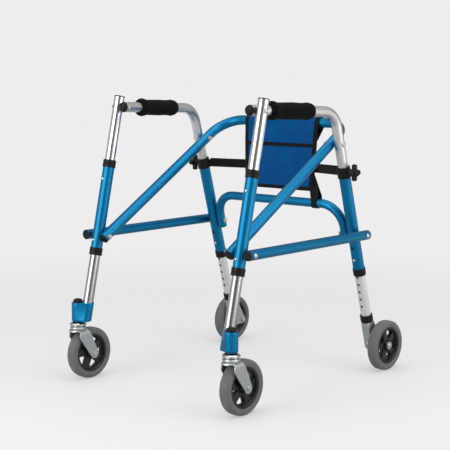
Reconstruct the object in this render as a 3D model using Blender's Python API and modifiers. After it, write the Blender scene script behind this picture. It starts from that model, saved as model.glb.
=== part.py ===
"""A child's reverse walker: two aluminium sides joined behind the user by a cross frame and a rear arch.

Metres, +Z up, +Y to the rear, +X to the user's left. The origin is on the floor, midway between the wheels.
"""

import math

import bmesh
import bpy
from mathutils import Matrix, Vector

# Tubes: outer diameters and the wall they share
LEG_DIAMETER = 0.0286
POST_DIAMETER = 0.0254
FRAME_DIAMETER = 0.0254
RAIL_DIAMETER = 0.0238
ARCH_DIAMETER = 0.0222
TUBE_WALL = 0.0013
FIT_GAP = 0.0003
BOLT_DIAMETER = 0.006

# Stance: the legs' centre lines in front and side view
LEG_SPACING = 0.462
LEG_SPREAD_AT_RAIL = 0.4281
FRONT_LEAN = math.radians(12.88)
REAR_LEAN = math.radians(15.72)
RAIL_HEIGHT = 0.357
HANDLE_HEIGHT = 0.661

# Heights on the front legs, down from the rail and up to the handle
FRONT_BUTTON_BELOW_RAIL = 0.0128
FRONT_BUTTON_HEIGHT = RAIL_HEIGHT - FRONT_BUTTON_BELOW_RAIL
FRONT_LEG_BELOW_BUTTON = 0.0316
FRONT_LEG_BOTTOM = FRONT_BUTTON_HEIGHT - FRONT_LEG_BELOW_BUTTON
FRONT_EXTENSION_ABOVE_RAIL = 0.023
FRONT_EXTENSION_TOP = RAIL_HEIGHT + FRONT_EXTENSION_ABOVE_RAIL
POST_BUTTON_HEIGHT = 0.4923
FRONT_LEG_ABOVE_BUTTON = 0.0434
FRONT_LEG_TOP = POST_BUTTON_HEIGHT + FRONT_LEG_ABOVE_BUTTON
POST_BELOW_BUTTON = 0.0423
POST_BOTTOM = POST_BUTTON_HEIGHT - POST_BELOW_BUTTON
POST_ABOVE_HANDLE = 0.036
POST_TOP = HANDLE_HEIGHT + POST_ABOVE_HANDLE
POST_CAP_DOME = 0.0032
POST_CAP_DEPTH = 0.006

# Heights on the rear legs
REAR_BUTTON_BELOW_RAIL = 0.0624
REAR_BUTTON_HEIGHT = RAIL_HEIGHT - REAR_BUTTON_BELOW_RAIL
REAR_LEG_BELOW_BUTTON = 0.0386
REAR_LEG_BOTTOM = REAR_BUTTON_HEIGHT - REAR_LEG_BELOW_BUTTON
REAR_EXTENSION_BELOW_RAIL = 0.039
REAR_EXTENSION_TOP = RAIL_HEIGHT - REAR_EXTENSION_BELOW_RAIL
REAR_EXTENSION_BOTTOM = 0.130
REAR_LEG_TOP = 0.519
HANDLE_TUBE_BOTTOM = 0.440
CROSS_BOLT_HEIGHT = 0.5815

# Snap buttons, and the holes they drop into
HOLE_PITCH = 0.0318
HEIGHT_TRAVEL = 0.0318
BUTTON_DIAMETER = 0.0068
BUTTON_PROUD = 0.0026
BUTTON_DEPTH = 0.0065
BUTTON_DOME = 0.0015
EXTENSION_HOLES = 5
EXTENSION_HOLE_PITCH = 0.020
EXTENSION_LOWEST_HOLE = 0.1718

# Black collars at the tube ends
COLLAR_WALL = 0.0014
COLLAR_LIP = 0.0042
COLLAR_SLEEVE = 0.0145
COLLAR_GROOVE = 0.0008
CLAMP_WALL = 0.0022
CLAMP_LIP = 0.0083
CLAMP_SLEEVE = 0.0187
CLAMP_BOSS_DIAMETER = 0.015
CLAMP_BOSS_END = 0.0207
CLAMP_LUG = (0.009, 0.010, 0.019)
CLAMP_LUG_GAP = 0.0015

# Clamp knob
KNOB_DIAMETER = 0.041
KNOB_THICKNESS = 0.011
KNOB_LOBES = 4
KNOB_LOBE_DIAMETER = 0.0135
KNOB_BOSS_DIAMETER = 0.018
KNOB_BOSS_LENGTH = 0.020

# Handle tube and grip
HANDLE_FALL = 0.032
HANDLE_BEND_RADIUS = 0.052
HANDLE_SADDLE = 0.0025
HANDLE_OVERHANG = 0.0055
GRIP_LENGTH = 0.1415
GRIP_DIAMETER = 0.044
GRIP_WAIST = 0.0386
GRIP_FROM_POST = 0.052
GRIP_ROUNDING = 0.005
GRIP_FLARE = 0.020

# Cross frame and rear arch
TOP_BAR_HEIGHT = 0.629
CROSS_BEND_RADIUS = 0.065
CROSS_OVERHANG = 0.0095
ARCH_ABOVE_RAIL = 0.072
ARCH_HEIGHT = RAIL_HEIGHT + ARCH_ABOVE_RAIL
ARCH_BEND_RADIUS = 0.058
ARCH_SPACER = 0.0006
ARCH_OVERHANG = 0.0175

# Side rail
RAIL_SPACER = 0.0048
RAIL_FRONT_OVERHANG = 0.0144
RAIL_REAR_OVERHANG = 0.0155

# Wheels
TYRE_DIAMETER = 0.127
TYRE_WIDTH = 0.0285
TYRE_CORNER = 0.0085
TYRE_BEAD = 0.003
RIM_DIAMETER = 0.0934
RIM_WIDTH = 0.0235
RIM_DEPTH = 0.0075
WEB_THICKNESS = 0.009
WEB_WINDOWS = 5
WEB_RIM_MARGIN = 0.001
WEB_HUB_MARGIN = 0.004
SPOKE_WIDTH = 0.0165
HUB_DIAMETER = 0.027
HUB_WIDTH = 0.0262
AXLE_DIAMETER = 0.008

# Caster
STEM_OUTWARD = 0.019
STEM_FORWARD = 0.0163
CASTER_TRAIL = 0.0345
BLOCK_TOP = 0.1945
BLOCK_BOTTOM = 0.149
BLOCK_FLOOR = 0.009
STEM_BARREL_DIAMETER = 0.031
LEG_BARREL_WALL = 0.0019
KINGPIN_DIAMETER = 0.012
RACE_DIAMETER = 0.041
RACE_HEIGHT = 0.0088
RACE_EDGE = 0.0022
RACE_NECK_DIAMETER = 0.025
CROWN_HEIGHT = 0.128
FORK_PLATE = 0.0026
FORK_WIDTH = 0.042
FORK_TIP_DIAMETER = 0.024
FORK_CLEARANCE = 0.002
FORK_LIP = 0.006
FORK_THROAT = (0.008, 0.021)

# Rear wheel bracket
BRACKET_COLLAR_HEIGHT = 0.020
BRACKET_COLLAR_FLOOR = 0.003
BRACKET_WIDTH = 0.0245
BRACKET_DEPTH = 0.022
BRACKET_PLATE = 0.0025
BRACKET_TIP_DIAMETER = 0.020
REAR_AXLE_BEHIND_LEG = 0.0224
WHEEL_SIDE_GAP = 0.0015

# Bolts and axle heads
BOLT_HEAD_DIAMETER = 0.0125
BOLT_HEAD_HEIGHT = 0.003
NUT_DIAMETER = 0.011
NUT_HEIGHT = 0.005
BOLT_HEAD_RIM = 0.0008
BOLT_TAIL = 0.0015
AXLE_HEAD_DIAMETER = 0.0125
AXLE_HEAD_HEIGHT = 0.0028
AXLE_WASHER_DIAMETER = 0.020
AXLE_WASHER_THICKNESS = 0.0015
REAR_AXLE_HEAD_HEIGHT = 0.004
REAR_AXLE_CHAMFER = 0.001

# Back panel and cross strap
PANEL_ABOVE_ARCH = 0.029
PANEL_BOTTOM = ARCH_HEIGHT + PANEL_ABOVE_ARCH
PANEL_HALF_WIDTH_TOP = 0.119
PANEL_HALF_WIDTH_BOTTOM = 0.110
PANEL_THICKNESS = 0.006
PANEL_LEAN = math.radians(3.0)
PANEL_BAND_HEIGHT = 0.571
PANEL_BAND_WIDTH = 0.009
PANEL_CREASE = 0.0012
FABRIC_GAP = 0.0005
SLEEVE_WALL = 0.0024
TIE_WIDTH = 0.0155
TIE_OUTWARD = {1: 0.0125, -1: -0.0255}
TIE_FLARE = 0.042
TIE_FLARE_OUTWARD = 0.0035
TIE_FLARE_TOP = PANEL_BOTTOM + TIE_FLARE
STRAP_HEIGHT = 0.023
STRAP_THICKNESS = 0.002
STRAP_CENTRE_HEIGHT = 0.5155

# Mesh fineness
ROUND_SIDES = 12
SMALL_SIDES = 10
WHEEL_SIDES = 20
BEND_STEPS = 4
SHARP_ANGLE = math.radians(35)

SIDES = {"left": 1, "right": -1}
BLUE = ("anodised blue", (0.0, 0.19, 0.43), 0.3, 0.9)
CHROME = ("polished tube", (0.78, 0.78, 0.78), 0.12, 1.0)
SATIN = ("satin tube", (0.62, 0.62, 0.62), 0.35, 1.0)
ZINC = ("zinc plate", (0.45, 0.48, 0.48), 0.4, 1.0)
BLACK = ("black plastic", (0.012, 0.012, 0.012), 0.5, 0.0)
FOAM = ("black foam", (0.01, 0.011, 0.01), 0.9, 0.0)
RUBBER = ("grey tyre", (0.14, 0.15, 0.14), 0.7, 0.0)
FABRIC = ("blue fabric", (0.0, 0.07, 0.3), 0.9, 0.0)
WEBBING = ("black webbing", (0.01, 0.012, 0.012), 0.85, 0.0)


class LegAxis:
    """A leg's centre line in side view: its y at the rail's height, and its lean, positive to the rear."""

    def __init__(self, y_at_rail, lean):
        self.y_at_rail = y_at_rail
        self.lean = lean
        self.direction = Vector((0, math.sin(lean), math.cos(lean)))
        self.forward = Vector((0, -math.cos(lean), math.sin(lean)))

    def at(self, x, height):
        return Vector((x, self.y_at_rail + (height - RAIL_HEIGHT) * math.tan(self.lean), height))


def centred_legs():
    """The two leg axes, placed so that the front and rear axles are as far before as behind the origin."""
    axle_height = TYRE_DIAMETER / 2
    front_axle = (BLOCK_TOP - RAIL_HEIGHT) * math.tan(FRONT_LEAN) - STEM_FORWARD + CASTER_TRAIL
    rear_axle = (RAIL_HEIGHT - axle_height) * math.tan(REAR_LEAN) + REAR_AXLE_BEHIND_LEG
    front_y = -(front_axle + rear_axle + LEG_SPREAD_AT_RAIL) / 2
    return LegAxis(front_y, FRONT_LEAN), LegAxis(front_y + LEG_SPREAD_AT_RAIL, -REAR_LEAN)


FRONT, REAR = centred_legs()
LEG_X = LEG_SPACING / 2
CROSS_X = LEG_X - (LEG_DIAMETER + FRAME_DIAMETER) / 2 - FIT_GAP
ARCH_X = LEG_X - (LEG_DIAMETER + ARCH_DIAMETER) / 2 - ARCH_SPACER
RAIL_X = LEG_X + (LEG_DIAMETER + RAIL_DIAMETER) / 2 + RAIL_SPACER
STEM_X = LEG_X + STEM_OUTWARD
AXLE_HEIGHT = TYRE_DIAMETER / 2
STEM_Y = FRONT.at(0, BLOCK_TOP).y - STEM_FORWARD
FRONT_AXLE_Y = STEM_Y + CASTER_TRAIL
REAR_AXLE_Y = REAR.at(0, AXLE_HEIGHT).y + REAR_AXLE_BEHIND_LEG
BRACKET_OUTER_X = LEG_X + BRACKET_WIDTH / 2
REAR_WHEEL_X = BRACKET_OUTER_X + WHEEL_SIDE_GAP + TYRE_WIDTH / 2
CLAMP_RADIUS = LEG_DIAMETER / 2 + FIT_GAP + CLAMP_WALL
CLAMP_HEIGHT = REAR_LEG_TOP - (CLAMP_SLEEVE - CLAMP_LIP) / 2 * math.cos(REAR_LEAN)


def clear_scene():
    for obj in list(bpy.data.objects):
        bpy.data.objects.remove(obj, do_unlink=True)


def new_collection(name):
    collection = bpy.data.collections.new(name)
    bpy.context.scene.collection.children.link(collection)
    return collection


def material(paint):
    name, colour, roughness, metallic = paint
    found = bpy.data.materials.get(name)
    if found:
        return found
    made = bpy.data.materials.new(name)
    made.use_nodes = True
    shader = made.node_tree.nodes["Principled BSDF"]
    shader.inputs["Base Color"].default_value = (*colour, 1)
    shader.inputs["Roughness"].default_value = roughness
    shader.inputs["Metallic"].default_value = metallic
    return made


def placed(point, direction=(0, 0, 1)):
    """A matrix whose origin is the point and whose local Z runs along the direction."""
    turn = Vector(direction).to_track_quat("Z", "Y")
    return Matrix.Translation(point) @ turn.to_matrix().to_4x4()


def add_part(name, mesh, place, paint):
    obj = bpy.data.objects.new(name, mesh)
    obj.matrix_world = place
    mesh.materials.append(material(paint))
    PARTS.objects.link(obj)
    return obj


def as_helper(obj):
    """Moves an object among the cutters, so that it only shapes others."""
    for collection in list(obj.users_collection):
        collection.objects.unlink(obj)
    HELPERS.objects.link(obj)
    obj.hide_render = True
    obj.display_type = "WIRE"
    return obj


def boolean(target, other, operation):
    step = target.modifiers.new(operation.title(), "BOOLEAN")
    step.operation = operation
    step.object = as_helper(other)


def fuse(target, *others):
    for other in others:
        boolean(target, other, "UNION")


def cut(target, cutter):
    boolean(target, cutter, "DIFFERENCE")


def turned(name, profile, place, paint, sides=ROUND_SIDES):
    """Spins a profile of (radius, height) points, outer side from top to bottom, about the local Z axis."""
    count = len(profile)
    edges = [(i, i + 1) for i in range(count - 1)]
    if min(radius for radius, _ in profile) > 0:
        edges.append((count - 1, 0))
    mesh = bpy.data.meshes.new(name)
    mesh.from_pydata([(radius, 0, height) for radius, height in profile], edges, [])
    obj = add_part(name, mesh, place, paint)
    spin = obj.modifiers.new("Turned", "SCREW")
    spin.steps = sides
    spin.render_steps = sides
    spin.use_merge_vertices = True
    spin.merge_threshold = 0.00001
    return obj


def rod(name, start, end, diameter, paint=BLACK, sides=SMALL_SIDES):
    """A solid cylinder from one point to the other."""
    length = (end - start).length
    mesh = bpy.data.meshes.new(name)
    shape = bmesh.new()
    bmesh.ops.create_cone(
        shape, cap_ends=True, segments=sides, radius1=diameter / 2, radius2=diameter / 2, depth=length
    )
    shape.to_mesh(mesh)
    shape.free()
    return add_part(name, mesh, placed((start + end) / 2, end - start), paint)


def block(name, place, size, paint=BLACK):
    """A box centred on the place, with the given full sizes along its local axes."""
    mesh = bpy.data.meshes.new(name)
    shape = bmesh.new()
    bmesh.ops.create_cube(shape, size=1, matrix=Matrix.Diagonal((*size, 1)))
    shape.to_mesh(mesh)
    shape.free()
    return add_part(name, mesh, place, paint)


def pipe(name, start, end, diameter, paint, wall=TUBE_WALL):
    """A straight tube, open at both ends."""
    length = (end - start).length
    outer = diameter / 2
    inner = outer - wall
    profile = [(outer, length), (outer, 0), (inner, 0), (inner, length)]
    return turned(name, profile, placed(start, end - start), paint)


def rounded_path(corners, radius):
    """The path through the corners, with each inner one replaced by an arc."""
    path = [corners[0]]
    for before, corner, after in zip(corners, corners[1:], corners[2:]):
        back = (before - corner).normalized()
        ahead = (after - corner).normalized()
        half = back.angle(ahead) / 2
        centre = corner + (back + ahead).normalized() * (radius / math.sin(half))
        first = corner + back * (radius / math.tan(half)) - centre
        for step in range(BEND_STEPS + 1):
            swing = Matrix.Rotation((math.pi - 2 * half) * step / BEND_STEPS, 3, ahead.cross(back))
            path.append(centre + swing @ first)
    return path + [corners[-1]]


def mesh_of_curve(obj, merge=0.000001):
    """Replaces a curve object by its evaluated mesh, with its loose caps welded."""
    bpy.context.view_layer.update()
    graph = bpy.context.evaluated_depsgraph_get()
    mesh = bpy.data.meshes.new_from_object(obj.evaluated_get(graph))
    shape = bmesh.new()
    shape.from_mesh(mesh)
    bmesh.ops.remove_doubles(shape, verts=shape.verts, dist=merge)
    shape.to_mesh(mesh)
    shape.free()
    place = obj.matrix_world.copy()
    bpy.data.objects.remove(obj, do_unlink=True)
    return mesh, place


def bent_pipe(name, corners, radius, diameter, paint):
    """A tube bent at each inner corner, open at both ends, as a curve's skin with Solidify."""
    curve = bpy.data.curves.new(name, "CURVE")
    curve.dimensions = "3D"
    curve.bevel_depth = diameter / 2
    curve.bevel_resolution = (ROUND_SIDES - 4) // 2
    path = rounded_path(corners, radius)
    spline = curve.splines.new("POLY")
    spline.points.add(len(path) - 1)
    for point, place in zip(spline.points, path):
        point.co = (*place, 1)
    guide = bpy.data.objects.new(name, curve)
    PARTS.objects.link(guide)
    mesh, place = mesh_of_curve(guide)
    obj = add_part(name, mesh, place, paint)
    wall = obj.modifiers.new("Wall", "SOLIDIFY")
    wall.thickness = TUBE_WALL
    wall.offset = -1
    return obj


def plate(name, outlines, place, thickness, paint):
    """A flat piece with the given (x, y) outline and any holes, centred in its thickness."""
    curve = bpy.data.curves.new(name, "CURVE")
    curve.dimensions = "2D"
    curve.fill_mode = "BOTH"
    curve.extrude = thickness / 2
    for outline in outlines:
        spline = curve.splines.new("POLY")
        spline.points.add(len(outline) - 1)
        spline.use_cyclic_u = True
        for point, (x, y) in zip(spline.points, outline):
            point.co = (x, y, 0, 1)
    guide = bpy.data.objects.new(name, curve)
    guide.matrix_world = place
    PARTS.objects.link(guide)
    mesh, place = mesh_of_curve(guide)
    return add_part(name, mesh, place, paint)


def arc(centre, radius, start, end, steps):
    """Points along an arc between two angles in degrees."""
    angles = [math.radians(start + (end - start) * i / steps) for i in range(steps + 1)]
    return [(centre[0] + radius * math.cos(a), centre[1] + radius * math.sin(a)) for a in angles]


def side_view(x):
    """A matrix that carries an outline drawn in (y, z) to the plane at this x."""
    return Matrix(((0, 0, 1, x), (1, 0, 0, 0), (0, 1, 0, 0), (0, 0, 0, 1)))


def drill_across(target, x_from, x_to, point, diameter):
    """A hole along X through the point."""
    start = Vector((x_from, point.y, point.z))
    end = Vector((x_to, point.y, point.z))
    cut(target, rod(target.name + "_drill", start, end, diameter))


def drill_front(target, axis, x, height, diameter):
    """A hole through the front wall of a leg, square to the leg."""
    start = axis.at(x, height)
    end = start + axis.forward * LEG_DIAMETER
    cut(target, rod(target.name + "_hole", start, end, diameter))


def tube_collar(name, axis_point, onto_leg, lip=COLLAR_LIP, sleeve=COLLAR_SLEEVE, wall=COLLAR_WALL, groove=True):
    """A collar over a leg's end: a sleeve on the leg, and a lip that closes down on the sliding tube."""
    leg_bore = LEG_DIAMETER / 2 + FIT_GAP
    post_bore = POST_DIAMETER / 2 + FIT_GAP
    outer = leg_bore + wall
    profile = [(outer, sleeve)]
    if groove:
        middle = (sleeve - lip) / 2
        profile += [(outer, middle + COLLAR_GROOVE), (outer - COLLAR_GROOVE, middle)]
        profile += [(outer, middle - COLLAR_GROOVE)]
    profile += [(outer, -lip), (post_bore, -lip)]
    profile += [(post_bore, -FIT_GAP), (leg_bore, -FIT_GAP), (leg_bore, sleeve)]
    return turned(name, profile, placed(axis_point, onto_leg), BLACK)


def front_leg(side, sign):
    x = sign * LEG_X
    leg = pipe(
        side + "_front_leg", FRONT.at(x, FRONT_LEG_BOTTOM), FRONT.at(x, FRONT_LEG_TOP), LEG_DIAMETER, BLUE
    )
    drill_across(leg, x - LEG_DIAMETER, x + LEG_DIAMETER, FRONT.at(x, RAIL_HEIGHT), BOLT_DIAMETER + 2 * FIT_GAP)
    for height in (POST_BUTTON_HEIGHT, FRONT_BUTTON_HEIGHT):
        drill_front(leg, FRONT, x, height, BUTTON_DIAMETER + 2 * FIT_GAP)
    return leg


def rear_leg(side, sign):
    x = sign * LEG_X
    leg = pipe(side + "_rear_leg", REAR.at(x, REAR_LEG_BOTTOM), REAR.at(x, REAR_LEG_TOP), LEG_DIAMETER, BLUE)
    drill_across(leg, x - LEG_DIAMETER, x + LEG_DIAMETER, REAR.at(x, RAIL_HEIGHT), BOLT_DIAMETER + 2 * FIT_GAP)
    spare_hole = REAR_BUTTON_HEIGHT + HOLE_PITCH * math.cos(REAR_LEAN)
    for height in (REAR_BUTTON_HEIGHT, spare_hole):
        drill_front(leg, REAR, x, height, BUTTON_DIAMETER + 2 * FIT_GAP)
    return leg


def front_post(side, sign):
    """The polished post that plugs into the front leg, with a thin domed cap on top."""
    x = sign * LEG_X
    start = FRONT.at(x, POST_BOTTOM)
    length = (FRONT.at(x, POST_TOP) - start).length
    outer = POST_DIAMETER / 2
    inner = outer - TUBE_WALL
    floor = length - POST_CAP_DEPTH
    dome = [(0, length), (outer * 0.6, length - POST_CAP_DOME / 4), (outer, length - POST_CAP_DOME)]
    bore = [(outer, 0), (inner, 0), (inner, floor), (0, floor)]
    post = turned(side + "_front_post", dome + bore, placed(start, FRONT.direction), CHROME)
    drill_front(post, FRONT, x, POST_BUTTON_HEIGHT, BUTTON_DIAMETER + 2 * FIT_GAP)
    return post


def handle_corner(sign):
    return REAR.at(sign * LEG_X, HANDLE_HEIGHT)


def handle_bar_direction(sign):
    """From the bend towards the front: inward, to pass inside the post, and rising a little."""
    corner = handle_corner(sign)
    post = FRONT.at(sign * LEG_X, HANDLE_HEIGHT)
    run = corner.y - post.y
    inward = POST_DIAMETER + HANDLE_SADDLE
    rise = run * HANDLE_FALL
    return Vector((-sign * inward, -run, rise)).normalized()


def handle_front(sign, beyond_post):
    """A point on the hand bar, this far in front of the post's axis."""
    corner = handle_corner(sign)
    direction = handle_bar_direction(sign)
    post_y = FRONT.at(0, HANDLE_HEIGHT).y
    return corner + direction * ((corner.y - post_y + beyond_post) / -direction.y)


def handle_tube(side, sign):
    """Hand bar, bend and rear post in one tube, plugged into the rear leg."""
    x = sign * LEG_X
    corners = [handle_front(sign, HANDLE_OVERHANG), handle_corner(sign), REAR.at(x, HANDLE_TUBE_BOTTOM)]
    tube = bent_pipe(side + "_handle_tube", corners, HANDLE_BEND_RADIUS, POST_DIAMETER, SATIN)
    bolt = REAR.at(x, CROSS_BOLT_HEIGHT)
    drill_across(tube, x - LEG_DIAMETER, x + LEG_DIAMETER, bolt, BOLT_DIAMETER + 2 * FIT_GAP)
    return tube


def hand_grip(side, sign):
    """A foam sleeve with a slight waist and rounded ends."""
    start = handle_front(sign, -GRIP_FROM_POST)
    bore = POST_DIAMETER / 2 + FIT_GAP
    end_radius = GRIP_DIAMETER / 2
    waist = GRIP_WAIST / 2
    half = GRIP_LENGTH / 2
    upper = [
        (end_radius - GRIP_ROUNDING, half),
        (end_radius - GRIP_ROUNDING * 0.3, half - GRIP_ROUNDING * 0.3),
        (end_radius, half - GRIP_ROUNDING),
        (end_radius, half - GRIP_ROUNDING * 2),
        (waist, half - GRIP_FLARE),
    ]
    lower = [(radius, -height) for radius, height in reversed(upper)]
    ends = [(bore, -half), (bore, half)]
    centre = start - handle_bar_direction(sign) * half
    return turned(side + "_hand_grip", upper + lower + ends, placed(centre, handle_bar_direction(sign)), FOAM)


def rear_clamp(side, sign):
    """The clamp on the rear leg's top: a boss outward for the knob, and a lug inward for the strap."""
    x = sign * LEG_X
    top = REAR.at(x, REAR_LEG_TOP)
    clamp = tube_collar(
        side + "_rear_clamp", top, -REAR.direction, CLAMP_LIP, CLAMP_SLEEVE, CLAMP_WALL, groove=False
    )
    centre = REAR.at(x, CLAMP_HEIGHT)
    outward = Vector((sign, 0, 0))
    boss_start = centre + outward * (LEG_DIAMETER / 2 + FIT_GAP + CLAMP_WALL / 2)
    boss_end = centre + outward * CLAMP_BOSS_END
    lug_centre = Vector((strap_anchor(sign).x + sign * CLAMP_LUG[0] / 2, strap_anchor(sign).y, centre.z))
    boss = rod(side + "_clamp_boss", boss_start, boss_end, CLAMP_BOSS_DIAMETER, sides=SMALL_SIDES)
    fuse(clamp, boss, block(side + "_clamp_lug", Matrix.Translation(lug_centre), CLAMP_LUG))
    below = top - REAR.direction * 2 * CLAMP_SLEEVE
    step = top + REAR.direction * FIT_GAP
    above = top + REAR.direction * 2 * CLAMP_SLEEVE
    cut(clamp, rod(side + "_leg_bore", below, step, LEG_DIAMETER + 2 * FIT_GAP, sides=ROUND_SIDES))
    cut(clamp, rod(side + "_post_bore", below, above, POST_DIAMETER + 2 * FIT_GAP, sides=ROUND_SIDES))
    return clamp


def clamp_knob(side, sign):
    """A lobed hand knob with a round boss, on the clamp's outer side."""
    outward = Vector((sign, 0, 0))
    face = REAR.at(sign * LEG_X, CLAMP_HEIGHT) + outward * (CLAMP_BOSS_END + FIT_GAP)
    lobe_centre = (KNOB_DIAMETER - KNOB_LOBE_DIAMETER) / 2
    radius = KNOB_LOBE_DIAMETER / 2
    step = 360 / KNOB_LOBES
    outline = []
    for lobe in range(KNOB_LOBES):
        angle = step * lobe
        centre = (lobe_centre * math.cos(math.radians(angle)), lobe_centre * math.sin(math.radians(angle)))
        outline += arc(centre, radius, angle - 90, angle + 90, 4)
        valley = math.radians(angle + step / 2)
        outline.append((radius * 1.5 * math.cos(valley), radius * 1.5 * math.sin(valley)))
    middle = face + outward * KNOB_BOSS_LENGTH / 2
    knob = plate(side + "_clamp_knob", [outline], placed(middle, outward), KNOB_THICKNESS, BLACK)
    fuse(knob, rod(side + "_knob_boss", face, face + outward * KNOB_BOSS_LENGTH, KNOB_BOSS_DIAMETER))
    return knob


def slide_slot(target, axis, x, button_height, top):
    """A slot in a sliding tube's front wall, long enough for the button at both ends of the travel."""
    half = HEIGHT_TRAVEL + BUTTON_DIAMETER / 2 + 2 * FIT_GAP
    low = axis.at(x, button_height) - axis.direction * half
    high = axis.at(x, max(top, button_height)) + axis.direction * half
    centre = (low + high) / 2 + axis.forward * POST_DIAMETER / 2
    width = BUTTON_DIAMETER + 4 * FIT_GAP
    size = (width, POST_DIAMETER / 2, (high - low).length)
    cut(target, block(target.name + "_slot", placed(centre, axis.direction), size))


def front_extension(side, sign):
    """The sliding tube below the front leg, open at the top where the rail's bolt crosses the leg."""
    x = sign * LEG_X
    bottom = FRONT.at(x, BLOCK_BOTTOM + BLOCK_FLOOR)
    top = FRONT.at(x, FRONT_EXTENSION_TOP)
    tube = pipe(side + "_front_extension", bottom, top, POST_DIAMETER, CHROME)
    slide_slot(tube, FRONT, x, FRONT_BUTTON_HEIGHT, FRONT_EXTENSION_TOP)
    low = FRONT.at(x, RAIL_HEIGHT) - FRONT.direction * (HEIGHT_TRAVEL + BOLT_DIAMETER / 2 + 4 * FIT_GAP)
    high = top + FRONT.direction * POST_DIAMETER
    size = (2 * LEG_DIAMETER, BOLT_DIAMETER + 4 * FIT_GAP, (high - low).length)
    cut(tube, block(side + "_bolt_slot", placed((low + high) / 2, FRONT.direction), size))
    return tube


def rear_extension(side, sign):
    """The sliding tube below the rear leg, with the row of holes that shows under the collar."""
    x = sign * LEG_X
    bottom = REAR.at(x, REAR_EXTENSION_BOTTOM)
    top = REAR.at(x, REAR_EXTENSION_TOP)
    tube = pipe(side + "_rear_extension", bottom, top, POST_DIAMETER, SATIN)
    slide_slot(tube, REAR, x, REAR_BUTTON_HEIGHT, REAR_EXTENSION_TOP)
    for number in range(EXTENSION_HOLES):
        height = EXTENSION_LOWEST_HOLE + number * EXTENSION_HOLE_PITCH * math.cos(REAR_LEAN)
        drill_front(tube, REAR, x, height, BUTTON_DIAMETER)
    return tube


def snap_button(name, axis, x, height):
    """A domed button in the leg's hole, pushed out by a spring inside the tube."""
    surface = LEG_DIAMETER / 2 + BUTTON_PROUD
    radius = BUTTON_DIAMETER / 2
    length = BUTTON_PROUD + BUTTON_DEPTH
    shoulder = length - BUTTON_DOME
    profile = [(0, length), (radius * 0.6, length - BUTTON_DOME / 4), (radius, shoulder), (radius, 0), (0, 0)]
    start = axis.at(x, height) + axis.forward * (surface - length)
    return turned(name, profile, placed(start, axis.forward), CHROME, SMALL_SIDES)


def through_bolt(name, y, z, outer_x, inner_x, sign):
    """A bolt along X from a domed head outside to a nut inside, clamping what lies between."""
    head = BOLT_HEAD_DIAMETER / 2
    shank = BOLT_DIAMETER / 2
    nut = NUT_DIAMETER / 2
    grip = outer_x - inner_x
    profile = [
        (0, BOLT_HEAD_HEIGHT),
        (head * 0.6, BOLT_HEAD_HEIGHT * 0.8),
        (head, BOLT_HEAD_RIM),
        (head, 0),
        (shank, 0),
        (shank, -grip),
        (nut, -grip),
        (nut, -grip - NUT_HEIGHT),
        (shank, -grip - NUT_HEIGHT),
        (shank, -grip - NUT_HEIGHT - BOLT_TAIL),
        (0, -grip - NUT_HEIGHT - BOLT_TAIL),
    ]
    return turned(name, profile, placed((sign * outer_x, y, z), (sign, 0, 0)), ZINC, SMALL_SIDES)


def frame_bolts(side, sign):
    rail_outer = RAIL_X + RAIL_DIAMETER / 2 + FIT_GAP
    front = FRONT.at(0, RAIL_HEIGHT)
    rear = REAR.at(0, RAIL_HEIGHT)
    upper = REAR.at(0, CROSS_BOLT_HEIGHT)
    cross_inner = CROSS_X - FRAME_DIAMETER / 2 - FIT_GAP
    arch_inner = ARCH_X - ARCH_DIAMETER / 2 - FIT_GAP
    handle_outer = LEG_X + POST_DIAMETER / 2 + FIT_GAP
    through_bolt(side + "_front_rail_bolt", front.y, front.z, rail_outer, cross_inner, sign)
    through_bolt(side + "_rear_rail_bolt", rear.y, rear.z, rail_outer, arch_inner, sign)
    through_bolt(side + "_cross_bolt", upper.y, upper.z, handle_outer, cross_inner, sign)


def side_rail(side, sign):
    x = sign * RAIL_X
    front = FRONT.at(x, RAIL_HEIGHT)
    rear = REAR.at(x, RAIL_HEIGHT)
    start = front - Vector((0, RAIL_FRONT_OVERHANG, 0))
    end = rear + Vector((0, RAIL_REAR_OVERHANG, 0))
    rail = pipe(side + "_side_rail", start, end, RAIL_DIAMETER, BLUE)
    for bolt in (front, rear):
        drill_across(rail, x - RAIL_DIAMETER, x + RAIL_DIAMETER, bolt, BOLT_DIAMETER + 2 * FIT_GAP)
    return rail


def cross_line():
    """Start and direction of a cross frame leg in side view, from the rail bolt up to the cross bolt."""
    low = FRONT.at(0, RAIL_HEIGHT)
    high = REAR.at(0, CROSS_BOLT_HEIGHT)
    return low, (high - low).normalized()


def cross_corner(sign):
    low, direction = cross_line()
    point = low + direction * ((TOP_BAR_HEIGHT - low.z) / direction.z)
    return Vector((sign * CROSS_X, point.y, point.z))


def cross_frame():
    """One bent tube: two rising diagonals and the top bar that carries the back panel."""
    low, direction = cross_line()
    end = low - direction * CROSS_OVERHANG
    left_end = Vector((CROSS_X, end.y, end.z))
    right_end = Vector((-CROSS_X, end.y, end.z))
    corners = [left_end, cross_corner(1), cross_corner(-1), right_end]
    frame = bent_pipe("cross_frame", corners, CROSS_BEND_RADIUS, FRAME_DIAMETER, BLUE)
    reach = CROSS_X + FRAME_DIAMETER
    for bolt in (low, REAR.at(0, CROSS_BOLT_HEIGHT)):
        drill_across(frame, -reach, reach, bolt, BOLT_DIAMETER + 2 * FIT_GAP)
    return frame


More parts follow.
